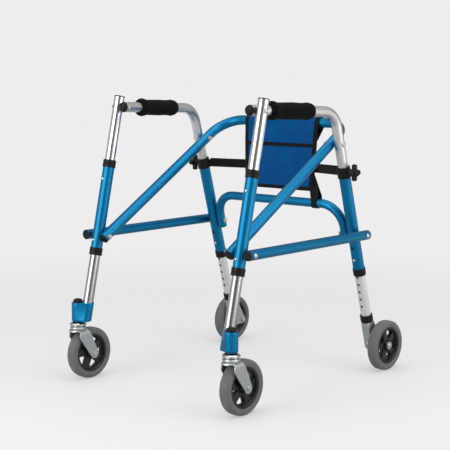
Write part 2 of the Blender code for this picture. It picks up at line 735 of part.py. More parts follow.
def rear_arch():
    """A bent tube between the rear legs, in their plane."""
    low = REAR.at(ARCH_X, RAIL_HEIGHT) - REAR.direction * ARCH_OVERHANG
    high = REAR.at(ARCH_X, ARCH_HEIGHT)
    flip = Vector((-1, 1, 1))
    corners = [low, high, high * flip, low * flip]
    arch = bent_pipe("rear_arch", corners, ARCH_BEND_RADIUS, ARCH_DIAMETER, BLUE)
    reach = ARCH_X + ARCH_DIAMETER
    drill_across(arch, -reach, reach, REAR.at(0, RAIL_HEIGHT), BOLT_DIAMETER + 2 * FIT_GAP)
    return arch


def wheel_tyre(name, centre, sign):
    """A solid tyre with rounded shoulders. Its facets touch the true circle, and one lies flat on the floor."""
    outer = TYRE_DIAMETER / 2
    bore = RIM_DIAMETER / 2 + FIT_GAP
    half = TYRE_WIDTH / 2
    half_step = math.pi / WHEEL_SIDES
    shoulder = arc((outer - TYRE_CORNER, half - TYRE_CORNER), TYRE_CORNER, 90, 0, 3)
    upper = [(bore, half - TYRE_BEAD), (bore + TYRE_BEAD, half)] + shoulder
    lower = [(radius, -height) for radius, height in reversed(upper)]
    profile = [(radius / math.cos(half_step), height) for radius, height in upper + lower]
    place = placed(centre, (sign, 0, 0)) @ Matrix.Rotation(half_step, 4, "Z")
    return turned(name, profile, place, RUBBER, WHEEL_SIDES)


def web_window(number):
    """The outline of one opening between two spokes of even width."""
    outer = RIM_DIAMETER / 2 - RIM_DEPTH - WEB_RIM_MARGIN
    inner = HUB_DIAMETER / 2 + WEB_HUB_MARGIN
    middle = 360 / WEB_WINDOWS * (number + 0.5) + 90
    half = 180 / WEB_WINDOWS
    outer_half = half - math.degrees(math.asin(SPOKE_WIDTH / 2 / outer))
    inner_half = half - math.degrees(math.asin(SPOKE_WIDTH / 2 / inner))
    far_side = arc((0, 0), outer, middle - outer_half, middle + outer_half, 3)
    near_side = arc((0, 0), inner, middle + inner_half, middle - inner_half, 1)
    return far_side + near_side


def wheel_hub(name, centre, sign):
    """Rim, spoked web and boss in one moulding, with the axle's bore."""
    place = placed(centre, (sign, 0, 0))
    outer = RIM_DIAMETER / 2
    inner = outer - RIM_DEPTH
    half = RIM_WIDTH / 2
    rim_profile = [(outer, half), (outer, -half), (inner, -half), (inner, half)]
    hub = turned(name, rim_profile, place, BLACK, WHEEL_SIDES)
    disc = arc((0, 0), inner + RIM_DEPTH / 2, 0, 360 - 360 / WHEEL_SIDES, WHEEL_SIDES - 1)
    windows = [web_window(number) for number in range(WEB_WINDOWS)]
    along = Vector((HUB_WIDTH / 2, 0, 0))
    fuse(hub, plate(name + "_web", [disc] + windows, place, WEB_THICKNESS, BLACK))
    fuse(hub, rod(name + "_boss", centre - along, centre + along, HUB_DIAMETER, sides=ROUND_SIDES))
    drill_across(hub, centre.x - HUB_WIDTH, centre.x + HUB_WIDTH, centre, AXLE_DIAMETER + 2 * FIT_GAP)
    return hub


def caster_block(side, sign):
    """The casting that joins the leaning extension to the upright caster stem."""
    x = sign * LEG_X
    stem = Vector((sign * STEM_X, STEM_Y, 0))
    leg_barrel = POST_DIAMETER + 2 * (FIT_GAP + LEG_BARREL_WALL)
    shape = bmesh.new()
    for height in (BLOCK_BOTTOM, BLOCK_TOP):
        level = Vector((0, 0, height))
        for centre, diameter in ((stem + level, STEM_BARREL_DIAMETER), (FRONT.at(x, height), leg_barrel)):
            ring = Matrix.Translation(centre)
            bmesh.ops.create_circle(shape, segments=ROUND_SIDES, radius=diameter / 2, matrix=ring)
    hull = bmesh.ops.convex_hull(shape, input=shape.verts)
    bmesh.ops.delete(shape, geom=hull["geom_interior"], context="VERTS")
    bmesh.ops.recalc_face_normals(shape, faces=shape.faces)
    mesh = bpy.data.meshes.new(side + "_caster_block")
    shape.to_mesh(mesh)
    shape.free()
    casting = add_part(side + "_caster_block", mesh, Matrix.Identity(4), BLUE)
    socket_floor = FRONT.at(x, BLOCK_BOTTOM + BLOCK_FLOOR) - FRONT.direction * FIT_GAP
    socket_top = FRONT.at(x, BLOCK_TOP + POST_DIAMETER)
    bore = POST_DIAMETER + 2 * FIT_GAP
    cut(casting, rod(side + "_socket", socket_floor, socket_top, bore, sides=ROUND_SIDES))
    low = stem + Vector((0, 0, BLOCK_BOTTOM - 0.01))
    high = stem + Vector((0, 0, BLOCK_TOP + 0.01))
    cut(casting, rod(side + "_stem_bore", low, high, KINGPIN_DIAMETER + 2 * FIT_GAP, sides=ROUND_SIDES))
    return casting


def fork_outline():
    """One fork arm in side view, as (y, z): from the crown back and down to the axle."""
    crown_front = STEM_Y - RACE_DIAMETER / 2
    crown_rear = STEM_Y + RACE_DIAMETER / 2 - RACE_EDGE
    throat_back, throat_down = FORK_THROAT
    tip = arc((FRONT_AXLE_Y, AXLE_HEIGHT), FORK_TIP_DIAMETER / 2, -150, 15, 7)
    front_edge = [(crown_front, CROWN_HEIGHT), (crown_front, CROWN_HEIGHT - FORK_LIP)]
    front_edge += [(crown_front + throat_back, CROWN_HEIGHT - throat_down)]
    return front_edge + tip + [(crown_rear, CROWN_HEIGHT)]


def fork_races(side, place):
    """The kingpin with its washer and the two stacked bearing races above the crown."""
    race = RACE_DIAMETER / 2
    neck = RACE_NECK_DIAMETER / 2
    pin = KINGPIN_DIAMETER / 2
    base = CROWN_HEIGHT - FORK_PLATE / 2
    seat = BLOCK_BOTTOM - FIT_GAP
    top = BLOCK_TOP + 0.002
    profile = [(0, top), (pin, top), (pin, seat), (neck, seat), (neck, CROWN_HEIGHT + 2 * RACE_HEIGHT)]
    for number in (1, 0):
        low = CROWN_HEIGHT + number * RACE_HEIGHT
        profile += [(race - RACE_EDGE, low + RACE_HEIGHT), (race, low + RACE_HEIGHT / 2)]
        profile += [(race - RACE_EDGE, low + RACE_EDGE / 3)]
    profile += [(race - 0.004, base), (0, base)]
    return turned(side + "_races", profile, place, ZINC)


def caster_fork(side, sign):
    """A pressed fork: two arms under a crown, with the races and the kingpin above it."""
    x = sign * STEM_X
    fork = plate(side + "_caster_fork", [fork_outline()], side_view(x), FORK_WIDTH, ZINC)
    inside = FORK_WIDTH - 2 * FORK_PLATE
    roof = CROWN_HEIGHT - FORK_PLATE
    channel = Vector((x, FRONT_AXLE_Y, roof / 2))
    cut(fork, block(side + "_channel", Matrix.Translation(channel), (inside, 4 * RACE_DIAMETER, roof)))
    axle = Vector((x, FRONT_AXLE_Y, AXLE_HEIGHT))
    half_inside = Vector((inside / 2, 0, 0))
    arch = TYRE_DIAMETER + 2 * FORK_CLEARANCE
    fuse(fork, fork_races(side, placed((x, STEM_Y, 0))))
    cut(fork, rod(side + "_wheel_arch", axle - half_inside, axle + half_inside, arch, sides=WHEEL_SIDES))
    drill_across(fork, x - FORK_WIDTH, x + FORK_WIDTH, axle, AXLE_DIAMETER + 2 * FIT_GAP)
    return fork


def front_axle(side, sign):
    """A rivet through both fork arms."""
    grip = FORK_WIDTH / 2 + FIT_GAP
    head = AXLE_HEAD_DIAMETER / 2
    shank = AXLE_DIAMETER / 2
    upper = [
        (0, grip + AXLE_HEAD_HEIGHT),
        (head * 0.6, grip + AXLE_HEAD_HEIGHT * 0.8),
        (head, grip + AXLE_HEAD_HEIGHT / 5),
        (head, grip),
        (shank, grip),
    ]
    lower = [(radius, -height) for radius, height in reversed(upper)]
    centre = (sign * STEM_X, FRONT_AXLE_Y, AXLE_HEIGHT)
    return turned(side + "_front_axle", upper + lower, placed(centre, (sign, 0, 0)), ZINC, SMALL_SIDES)


def bracket_outline():
    """The wheel bracket in side view, as (y, z): narrow under the collar, wide enough below for the axle."""
    top = REAR.at(0, REAR_EXTENSION_BOTTOM) - REAR.direction * BRACKET_COLLAR_FLOOR / 2
    half = BRACKET_DEPTH / 2
    top_front = top + REAR.forward * half
    top_rear = top - REAR.forward * half
    leg_foot = REAR.at(0, AXLE_HEIGHT).y
    toe = arc((leg_foot, AXLE_HEIGHT), half, 195, 255, 3)
    heel = arc((REAR_AXLE_Y, AXLE_HEIGHT), BRACKET_TIP_DIAMETER / 2, -90, 30, 5)
    return [(top_front.y, top_front.z)] + toe + heel + [(top_rear.y, top_rear.z)]


def wheel_bracket(side, sign):
    """A collar on the extension's foot, and the folded channel below it that holds the rear axle."""
    x = sign * LEG_X
    foot = REAR.at(x, REAR_EXTENSION_BOTTOM)
    bore = POST_DIAMETER / 2 + FIT_GAP
    outer = LEG_DIAMETER / 2 + FIT_GAP + COLLAR_WALL
    top = BRACKET_COLLAR_HEIGHT - BRACKET_COLLAR_FLOOR
    floor = -BRACKET_COLLAR_FLOOR
    profile = [(0, -FIT_GAP), (bore, -FIT_GAP), (bore, top), (outer, top), (outer, floor), (0, floor)]
    bracket = turned(side + "_wheel_bracket", profile, placed(foot, REAR.direction), ZINC)
    channel = plate(side + "_channel_plate", [bracket_outline()], side_view(x), BRACKET_WIDTH, ZINC)
    hollow_top = REAR_EXTENSION_BOTTOM - BRACKET_COLLAR_FLOOR - BRACKET_PLATE
    hollow_centre = REAR.at(x, hollow_top / 2) - REAR.forward * (BRACKET_DEPTH + BRACKET_PLATE)
    hollow = (BRACKET_WIDTH - 2 * BRACKET_PLATE, 3 * BRACKET_DEPTH, hollow_top / math.cos(REAR_LEAN))
    cut(channel, block(side + "_hollow", placed(hollow_centre, REAR.direction), hollow))
    fuse(bracket, channel)
    axle = Vector((x, REAR_AXLE_Y, AXLE_HEIGHT))
    drill_across(bracket, x - BRACKET_WIDTH, x + BRACKET_WIDTH, axle, AXLE_DIAMETER + 2 * FIT_GAP)
    return bracket


def rear_axle(side, sign):
    """A bolt from the wheel's outer washer through the bracket to a nut inside it."""
    washer = AXLE_WASHER_DIAMETER / 2
    head = AXLE_HEAD_DIAMETER / 2
    shank = AXLE_DIAMETER / 2
    nut = AXLE_HEAD_DIAMETER / 2
    outside = REAR_WHEEL_X + HUB_WIDTH / 2 + FIT_GAP
    inside = LEG_X - BRACKET_WIDTH / 2 - FIT_GAP
    grip = outside - inside
    top = AXLE_WASHER_THICKNESS + REAR_AXLE_HEAD_HEIGHT
    profile = [
        (0, top),
        (head - REAR_AXLE_CHAMFER, top),
        (head, top - REAR_AXLE_CHAMFER),
        (head, AXLE_WASHER_THICKNESS),
        (washer, AXLE_WASHER_THICKNESS),
        (washer, 0),
        (shank, 0),
        (shank, -grip),
        (nut, -grip),
        (nut, -grip - NUT_HEIGHT),
        (0, -grip - NUT_HEIGHT),
    ]
    place = placed((sign * outside, REAR_AXLE_Y, AXLE_HEIGHT), (sign, 0, 0))
    return turned(side + "_rear_axle", profile, place, ZINC, SMALL_SIDES)


def panel_y(height):
    """The y of the hanging panel's middle surface at this height."""
    bar = cross_corner(1)
    front = bar.y - FRAME_DIAMETER / 2 - FABRIC_GAP - SLEEVE_WALL
    return front + PANEL_THICKNESS / 2 - (bar.z - height) * math.tan(PANEL_LEAN)


def tie_inner(sign):
    """The inner edge of a side's tie at the arch, as its distance from the middle."""
    return PANEL_HALF_WIDTH_BOTTOM + TIE_OUTWARD[sign]


def half_panel_outline(sign, tie_end):
    """One side of the hanging panel in front view, as (x, z), with its tie running down to the arch."""
    inner = tie_inner(sign)
    outer = inner + TIE_WIDTH
    corner = PANEL_HALF_WIDTH_BOTTOM
    flare = (corner + TIE_FLARE_OUTWARD, TIE_FLARE_TOP)
    half = [
        (PANEL_HALF_WIDTH_TOP, cross_corner(1).z),
        flare if outer > corner else (corner, PANEL_BOTTOM),
        (outer, tie_end),
        (inner, tie_end),
        (min(inner, corner), PANEL_BOTTOM),
    ]
    return [(sign * x, z) for x, z in half]


def panel_outline(tie_end):
    """The hanging panel in front view, as (x, z), with its two ties."""
    return half_panel_outline(1, tie_end) + half_panel_outline(-1, tie_end)[::-1]


def panel_crease(height):
    """A groove across the panel's front, where the band is sewn down."""
    front = Vector((0, panel_y(height) - PANEL_THICKNESS / 2, height))
    place = placed(front, (0, math.sin(PANEL_LEAN), math.cos(PANEL_LEAN)))
    return block("panel_crease", place, (4 * PANEL_HALF_WIDTH_TOP, 2 * PANEL_CREASE, PANEL_CREASE))


def fabric_sleeve(name, centre, half_width, tube_diameter):
    """A fabric loop round a tube that runs along X."""
    outer = tube_diameter / 2 + FABRIC_GAP + SLEEVE_WALL
    reach = Vector((half_width, 0, 0))
    return rod(name, centre - reach, centre + reach, 2 * outer, sides=ROUND_SIDES)


def back_panel():
    """The fabric panel that hangs from the top bar and is tied down to the arch at both lower corners."""
    bar = Vector((0, cross_corner(1).y, cross_corner(1).z))
    arch_tube = REAR.at(0, ARCH_HEIGHT)
    tie_end = ARCH_HEIGHT
    middle = (bar.z + tie_end) / 2
    slant = Matrix.Rotation(math.pi / 2 - PANEL_LEAN, 4, "X")
    to_place = Matrix.Translation((0, panel_y(middle), middle)) @ slant
    stretch = 1 / math.cos(PANEL_LEAN)
    outline = [(x, (z - middle) * stretch) for x, z in panel_outline(tie_end)]
    panel = plate("back_panel", [outline], to_place, PANEL_THICKNESS, FABRIC)
    fuse(panel, fabric_sleeve("bar_sleeve", bar, PANEL_HALF_WIDTH_TOP, FRAME_DIAMETER))
    reach = Vector((CROSS_X - CROSS_BEND_RADIUS, 0, 0))
    for sign in SIDES.values():
        tie_centre = arch_tube + Vector((sign * (tie_inner(sign) + TIE_WIDTH / 2), 0, 0))
        fuse(panel, fabric_sleeve("tie_loop", tie_centre, TIE_WIDTH / 2, ARCH_DIAMETER))
    bar_bore = FRAME_DIAMETER + 2 * FABRIC_GAP
    arch_bore = ARCH_DIAMETER + 2 * FABRIC_GAP
    cut(panel, rod("bar_bore", bar - 2 * reach, bar + 2 * reach, bar_bore, sides=ROUND_SIDES))
    cut(panel, rod("arch_bore", arch_tube - 2 * reach, arch_tube + 2 * reach, arch_bore, sides=ROUND_SIDES))
    for edge in (-PANEL_BAND_WIDTH / 2, PANEL_BAND_WIDTH / 2):
        cut(panel, panel_crease(PANEL_BAND_HEIGHT + edge))
    return panel


def strap_anchor(sign):
    """Where the cross strap meets the lug on the clamp."""
    clamp = REAR.at(sign * LEG_X, CLAMP_HEIGHT)
    return clamp + Vector((-sign * (CLAMP_RADIUS + CLAMP_LUG_GAP), CLAMP_RADIUS * 0.75, 0))


def cross_strap():
    """Webbing from clamp to clamp, behind the panel."""
    rear_face = panel_y(STRAP_CENTRE_HEIGHT) + PANEL_THICKNESS / 2
    behind = rear_face + STRAP_THICKNESS / 2 + 0.001
    left = strap_anchor(1)
    edge = PANEL_HALF_WIDTH_BOTTOM + 0.008
    end = left.x - STRAP_THICKNESS / 2
    stops = [(end, left.y), (edge, behind), (-edge, behind), (-end, left.y)]
    half = STRAP_HEIGHT / 2
    low = STRAP_CENTRE_HEIGHT - half
    high = STRAP_CENTRE_HEIGHT + half
    corners = [(x, y, low) for x, y in stops] + [(x, y, high) for x, y in stops]
    count = len(stops)
    faces = [(i + 1, i, i + count, i + count + 1) for i in range(count - 1)]
    mesh = bpy.data.meshes.new("cross_strap")
    mesh.from_pydata(corners, [], faces)
    strap = add_part("cross_strap", mesh, Matrix.Identity(4), WEBBING)
    thickness = strap.modifiers.new("Webbing", "SOLIDIFY")
    thickness.thickness = STRAP_THICKNESS
    thickness.offset = 0
    return strap


def build_side(side, sign):
    """Everything on one side of the walker."""
    x = sign * LEG_X
    front_leg(side, sign)
    rear_leg(side, sign)
    front_post(side, sign)
    handle_tube(side, sign)
    hand_grip(side, sign)
    tube_collar(side + "_front_upper_collar", FRONT.at(x, FRONT_LEG_TOP), -FRONT.direction)
    tube_collar(side + "_front_lower_collar", FRONT.at(x, FRONT_LEG_BOTTOM), FRONT.direction)
    tube_collar(side + "_rear_lower_collar", REAR.at(x, REAR_LEG_BOTTOM), REAR.direction)
    rear_clamp(side, sign)
    clamp_knob(side, sign)
    front_extension(side, sign)
    rear_extension(side, sign)
    snap_button(side + "_post_button", FRONT, x, POST_BUTTON_HEIGHT)
    snap_button(side + "_front_button", FRONT, x, FRONT_BUTTON_HEIGHT)
    snap_button(side + "_rear_button", REAR, x, REAR_BUTTON_HEIGHT)
    frame_bolts(side, sign)
    side_rail(side, sign)
    caster_block(side, sign)
    caster_fork(side, sign)
    front_axle(side, sign)
    wheel_bracket(side, sign)
    rear_axle(side, sign)
    front_centre = Vector((sign * STEM_X, FRONT_AXLE_Y, AXLE_HEIGHT))
    rear_centre = Vector((sign * REAR_WHEEL_X, REAR_AXLE_Y, AXLE_HEIGHT))
    for end, centre in (("_front", front_centre), ("_rear", rear_centre)):
        wheel_tyre(side + end + "_tyre", centre, sign)
        wheel_hub(side + end + "_hub", centre, sign)


def bake_modifiers():
    """Gives each part its finished mesh, shaded smooth up to its sharp edges."""
    bpy.context.view_layer.update()
    graph = bpy.context.evaluated_depsgraph_get()
    finished = {obj: bpy.data.meshes.new_from_object(obj.evaluated_get(graph)) for obj in PARTS.objects}
    for obj, mesh in finished.items():
        obj.modifiers.clear()
        obj.data = mesh
        mesh.shade_smooth()
        mesh.set_sharp_from_angle(angle=SHARP_ANGLE)
    for helper in list(HELPERS.objects):
        bpy.data.objects.remove(helper, do_unlink=True)


def add_joint(name, place, parent):
    """An empty on a joint's axis, which carries the pieces that move there."""
    joint = bpy.data.objects.new(name, None)
    joint.empty_display_size = 0.02
    PARTS.objects.link(joint)
    joint.matrix_world = place
    hang(joint, parent)
    return joint


def hang(obj, parent):
    """Parents an object without moving it."""
    bpy.context.view_layer.update()
    obj.parent = parent
    obj.matrix_parent_inverse = parent.matrix_world.inverted()


def hang_named(names, parent):
    for name in names:
        hang(bpy.data.objects[name], parent)


def join_side(side, sign, root):
    """The joints of one side, each an empty on its axis."""
    x = sign * LEG_X
    outward = (sign, 0, 0)
    slide = add_joint(side + "_front_slide", placed(FRONT.at(x, BLOCK_TOP), FRONT.direction), root)
    swivel = add_joint(side + "_caster_swivel", placed((sign * STEM_X, STEM_Y, CROWN_HEIGHT)), slide)
    front_centre = (sign * STEM_X, FRONT_AXLE_Y, AXLE_HEIGHT)
    front_spin = add_joint(side + "_front_spin", placed(front_centre, outward), swivel)
    foot = REAR.at(x, REAR_EXTENSION_BOTTOM)
    rear_slide = add_joint(side + "_rear_slide", placed(foot, REAR.direction), root)
    rear_centre = (sign * REAR_WHEEL_X, REAR_AXLE_Y, AXLE_HEIGHT)
    rear_spin = add_joint(side + "_rear_spin", placed(rear_centre, outward), rear_slide)
    knob = add_joint(side + "_knob_turn", placed(REAR.at(x, CLAMP_HEIGHT), outward), root)
    hang_named([side + "_front_extension", side + "_caster_block"], slide)
    hang_named([side + "_caster_fork", side + "_front_axle"], swivel)
    hang_named([side + "_front_tyre", side + "_front_hub"], front_spin)
    hang_named([side + "_rear_extension", side + "_wheel_bracket", side + "_rear_axle"], rear_slide)
    hang_named([side + "_rear_tyre", side + "_rear_hub"], rear_spin)
    hang_named([side + "_clamp_knob"], knob)
    buttons = (("_post", FRONT, POST_BUTTON_HEIGHT), ("_front", FRONT, FRONT_BUTTON_HEIGHT))
    for end, axis, height in buttons + (("_rear", REAR, REAR_BUTTON_HEIGHT),):
        press = add_joint(side + end + "_press", placed(axis.at(x, height), -axis.forward), root)
        hang_named([side + end + "_button"], press)


def build_walker():
    cross_frame()
    rear_arch()
    back_panel()
    cross_strap()
    for side, sign in SIDES.items():
        build_side(side, sign)
    bake_modifiers()
    root = bpy.data.objects.new("walker", None)
    PARTS.objects.link(root)
    for side, sign in SIDES.items():
        join_side(side, sign, root)
    for obj in PARTS.objects:
        if obj.parent is None and obj is not root:
            hang(obj, root)


clear_scene()
PARTS = new_collection("walker")
HELPERS = new_collection("cutters")
build_walker()
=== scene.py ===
from math import acos, asin, atan2, cos, degrees, pi, radians, sin, sqrt, tan

import bmesh
import bpy
from mathutils import Matrix, Vector, noise


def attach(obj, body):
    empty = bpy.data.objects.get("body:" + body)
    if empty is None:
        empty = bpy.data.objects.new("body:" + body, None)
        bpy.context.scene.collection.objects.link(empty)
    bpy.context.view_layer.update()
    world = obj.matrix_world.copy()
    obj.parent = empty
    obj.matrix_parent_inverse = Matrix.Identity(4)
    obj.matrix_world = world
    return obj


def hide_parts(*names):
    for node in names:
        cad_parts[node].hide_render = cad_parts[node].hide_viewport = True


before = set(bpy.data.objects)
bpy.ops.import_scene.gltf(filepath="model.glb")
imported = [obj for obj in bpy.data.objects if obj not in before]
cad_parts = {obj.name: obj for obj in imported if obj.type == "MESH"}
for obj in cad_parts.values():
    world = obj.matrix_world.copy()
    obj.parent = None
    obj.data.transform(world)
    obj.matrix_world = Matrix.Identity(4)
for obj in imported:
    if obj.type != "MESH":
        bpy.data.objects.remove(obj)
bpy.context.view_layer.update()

SCENE = bpy.context.scene

# Sizes shared with the CAD model, in metres: +Z up, +Y to the rear, +X to the user's left
LEG_DIAMETER = 0.0286
POST_DIAMETER = 0.0254
FRAME_DIAMETER = 0.0254
RAIL_DIAMETER = 0.0238
ARCH_DIAMETER = 0.0222
TUBE_WALL = 0.0013
FIT_GAP = 0.0003
BOLT_DIAMETER = 0.006
RAIL_HEIGHT = 0.357
FRONT_LEG_BOTTOM = 0.3126
FRONT_LEG_TOP = 0.5357
POST_BOTTOM = 0.450
POST_TOP = 0.697
POST_CAP_DOME = 0.0032
POST_BUTTON_HEIGHT = 0.4923
FRONT_BUTTON_HEIGHT = 0.3442
FRONT_EXTENSION_TOP = 0.380
REAR_LEG_BOTTOM = 0.256
REAR_LEG_TOP = 0.519
REAR_BUTTON_HEIGHT = 0.2946
REAR_EXTENSION_TOP = 0.318
REAR_EXTENSION_BOTTOM = 0.130
HANDLE_TUBE_BOTTOM = 0.440
CROSS_BOLT_HEIGHT = 0.5815
HOLE_PITCH = 0.0318
HEIGHT_TRAVEL = 0.0318
BUTTON_DIAMETER = 0.0068
BUTTON_PROUD = 0.0026
BUTTON_DEPTH = 0.0065
EXTENSION_HOLES = 5
EXTENSION_HOLE_PITCH = 0.020
EXTENSION_LOWEST_HOLE = 0.1718
COLLAR_WALL = 0.0014
COLLAR_LIP = 0.0042
COLLAR_SLEEVE = 0.0145
CLAMP_WALL = 0.0022
CLAMP_LIP = 0.0083
CLAMP_SLEEVE = 0.0187
CLAMP_BOSS_DIAMETER = 0.015
CLAMP_BOSS_END = 0.0207
CLAMP_LUG = (0.009, 0.010, 0.019)
CLAMP_LUG_GAP = 0.0015
KNOB_DIAMETER = 0.041
KNOB_THICKNESS = 0.011
KNOB_LOBES = 4
KNOB_LOBE_DEPTH = 0.0053
KNOB_BOSS_DIAMETER = 0.018
KNOB_BOSS_LENGTH = 0.020
HANDLE_HEIGHT = 0.661
HANDLE_FALL = 0.032
HANDLE_BEND_RADIUS = 0.052
HANDLE_SADDLE = 0.0025
HANDLE_OVERHANG = 0.0055
GRIP_LENGTH = 0.1415
GRIP_DIAMETER = 0.044
GRIP_WAIST = 0.0386
GRIP_FROM_POST = 0.052
TOP_BAR_HEIGHT = 0.629
CROSS_BEND_RADIUS = 0.065
CROSS_OVERHANG = 0.0095
ARCH_HEIGHT = 0.429
ARCH_BEND_RADIUS = 0.058
ARCH_OVERHANG = 0.0175
RAIL_FRONT_OVERHANG = 0.0144
RAIL_REAR_OVERHANG = 0.0155
TYRE_DIAMETER = 0.127
TYRE_WIDTH = 0.0285
RIM_DIAMETER = 0.0934
RIM_WIDTH = 0.0235
RIM_DEPTH = 0.0075
WEB_THICKNESS = 0.0125
WEB_WINDOWS = 5
SPOKE_WIDTH = 0.0165
WEB_HUB_MARGIN = 0.004
HUB_DIAMETER = 0.027
HUB_WIDTH = 0.0262
AXLE_DIAMETER = 0.008
BLOCK_TOP = 0.1945
BLOCK_BOTTOM = 0.149
BLOCK_FLOOR = 0.009
STEM_BARREL_DIAMETER = 0.031
LEG_BARREL_WALL = 0.0019
KINGPIN_DIAMETER = 0.012
RACE_DIAMETER = 0.041
RACE_HEIGHT = 0.0088
STEM_CAP_HEIGHT = 0.009
STEM_CAP_RADIUS = 0.0118
CROWN_HEIGHT = 0.128
FORK_PLATE = 0.0026
FORK_WIDTH = 0.042
FORK_TIP_DIAMETER = 0.024
FORK_TRAIL = 0.0345
FORK_BEND = 0.009
CROWN_RADIUS = 0.0215
BRACKET_COLLAR_HEIGHT = 0.020
BRACKET_COLLAR_FLOOR = 0.003
BRACKET_WIDTH = 0.0245
BRACKET_DEPTH = 0.022
BRACKET_PLATE = 0.0025
BRACKET_TIP_DIAMETER = 0.020
SPACER_DIAMETER = 0.0125
SADDLE_DIAMETER = 0.0165
BOLT_HEAD_DIAMETER = 0.0125
BOLT_HEAD_HEIGHT = 0.003
HANDLE_BOLT_HEAD = 0.0105
NUT_DIAMETER = 0.011
NUT_HEIGHT = 0.005
AXLE_HEAD_DIAMETER = 0.0125
AXLE_WASHER_DIAMETER = 0.020
AXLE_WASHER_THICKNESS = 0.0015
PANEL_BOTTOM = 0.458
PANEL_HALF_WIDTH_TOP = 0.119
PANEL_HALF_WIDTH_BOTTOM = 0.110
PANEL_LEAN = radians(3.0)
PANEL_BAND_HEIGHT = 0.571
TIE_WIDTH = 0.0155
TIE_INNER = {1: 0.1225, -1: 0.0845}
TIE_FLARE_TOP = 0.500
STRAP_HEIGHT = 0.023
STRAP_THICKNESS = 0.002
STRAP_CENTRE_HEIGHT = 0.5155
STRAP_BEHIND_PANEL = 0.1715

# Placings that follow from the CAD model
LEG_X = 0.231
CROSS_X = 0.2037
ARCH_X = 0.205
RAIL_X = 0.262
STEM_X = 0.250
STEM_Y = -0.31053
AXLE_HEIGHT = 0.0635
FRONT_AXLE_Y = -0.27603
REAR_AXLE_Y = 0.27603
REAR_WHEEL_X = 0.259
CLAMP_HEIGHT = 0.51399

# The photograph's viewpoint
CAMERA_PLACE = (1.9000, -2.2008, 0.7504)
CAMERA_AZIMUTH = radians(41.43)
CAMERA_PITCH = radians(7.32)
CAMERA_LENS = 94.08

SIDES = {"left": 1, "right": -1}


class LegAxis:
    """A leg's centre line in side view: its y at the rail's height, and its lean, positive to the rear."""

    def __init__(self, y_at_rail, lean):
        self.y_at_rail = y_at_rail
        self.lean = lean
        self.direction = Vector((0, sin(lean), cos(lean)))
        self.forward = Vector((0, -cos(lean), sin(lean)))

    def at(self, x, height):
        return Vector((x, self.y_at_rail + (height - RAIL_HEIGHT) * tan(self.lean), height))


FRONT = LegAxis(-0.257076, radians(12.88))
REAR = LegAxis(0.171024, -radians(15.72))


# Shapes

def placed(point, direction=(0, 0, 1)):
    """A matrix whose origin is the point and whose local Z runs along the direction."""
    turn = Vector(direction).to_track_quat("Z", "Y")
    return Matrix.Translation(point) @ turn.to_matrix().to_4x4()


def arc(centre, radius, start, end, steps):
    """Points along an arc between two angles in degrees."""
    angles = [radians(start + (end - start) * i / steps) for i in range(steps + 1)]
    return [(centre[0] + radius * cos(a), centre[1] + radius * sin(a)) for a in angles]


def blend(low, high, share):
    return low + (high - low) * share


def clamped(share):
    return min(max(share, 0), 1)


def ease(edge_low, edge_high, value):
    """0 below the first edge, 1 above the second, and smooth between them."""
    share = clamped((value - edge_low) / (edge_high - edge_low))
    return share * share * (3 - 2 * share)


def follow(points, value):
    """The y at this x on a line through (x, y) points in rising order of x."""
    for (x0, y0), (x1, y1) in zip(points, points[1:]):
        if value <= x1:
            return blend(y0, y1, max((value - x0) / (x1 - x0), 0))
    return points[-1][1]


def eased(points, cyclic=False, steps=4):
    """A flat line whose corners given as (x, y, radius) are rounded."""
    line = []
    count = len(points)
    for index, point in enumerate(points):
        here = Vector(point[:2])
        if len(point) < 3 or not cyclic and index in (0, count - 1):
            line.append(here)
            continue
        back = Vector(points[index - 1][:2]) - here
        ahead = Vector(points[(index + 1) % count][:2]) - here
        reach = min(point[2] / tan(back.angle(ahead) / 2), back.length * 0.48, ahead.length * 0.48)
        first = here + back.normalized() * reach
        last = here + ahead.normalized() * reach
        for step in range(steps + 1):
            share = step / steps
            line.append(first * (1 - share) ** 2 + here * 2 * share * (1 - share) + last * share ** 2)
    return line


def skin(rows, around=True, loop=False):
    """A surface through equal rows of points, with its UVs in metres: U along a row, V from row to row."""
    count = len(rows[0])
    spans = count if around else count - 1
    widest = max(rows, key=lambda row: sum((b - a).length for a, b in zip(row, row[1:])))
    across = [0]
    for i in range(spans):
        across.append(across[-1] + (widest[(i + 1) % count] - widest[i]).length)
    along = [0]
    for below, above in zip(rows, rows[1:] + rows[:1]):
        along.append(along[-1] + (above[0] - below[0]).length)
    shape = bmesh.new()
    layer = shape.loops.layers.uv.new("UVMap")
    grid = [[shape.verts.new(point) for point in row] for row in rows]
    for j in range(len(rows) if loop else len(rows) - 1):
        above = (j + 1) % len(rows)
        for i in range(spans):
            k = (i + 1) % count
            face = shape.faces.new((grid[j][i], grid[j][k], grid[above][k], grid[above][i]))
            for corner, (u, v) in zip(face.loops, ((i, j), (i + 1, j), (i + 1, j + 1), (i, j + 1))):
                corner[layer].uv = (across[u], along[v])
    bmesh.ops.remove_doubles(shape, verts=shape.verts, dist=0.000002)
    bmesh.ops.recalc_face_normals(shape, faces=shape.faces)
    return as_mesh(shape)


def gathered(rows):
    """A surface through the rows, each end closed by a row drawn together to its middle."""
    first, last = ([sum(row, Vector()) / len(row)] * len(row) for row in (rows[0], rows[-1]))
    return skin([first] + rows + [last])


def flattened(rows):
    """A band through the rows, each end closed by a row midway between its two faces."""
    first, last = ([(a + b) / 2 for a, b in zip(row, reversed(row))] for row in (rows[0], rows[-1]))
    return skin([first] + rows + [last])


def headings(points):
    """The way that a line of points runs at each of them."""
    pairs = zip(points[:1] + points[:-1], points[1:] + points[-1:])
    return [(after - before).normalized() for before, after in pairs]


def mirrored(profile):
    """A profile with its own mirror image below, from the last point back to the first."""
    return profile + [(point[0], -point[1], *point[2:]) for point in reversed(profile)]


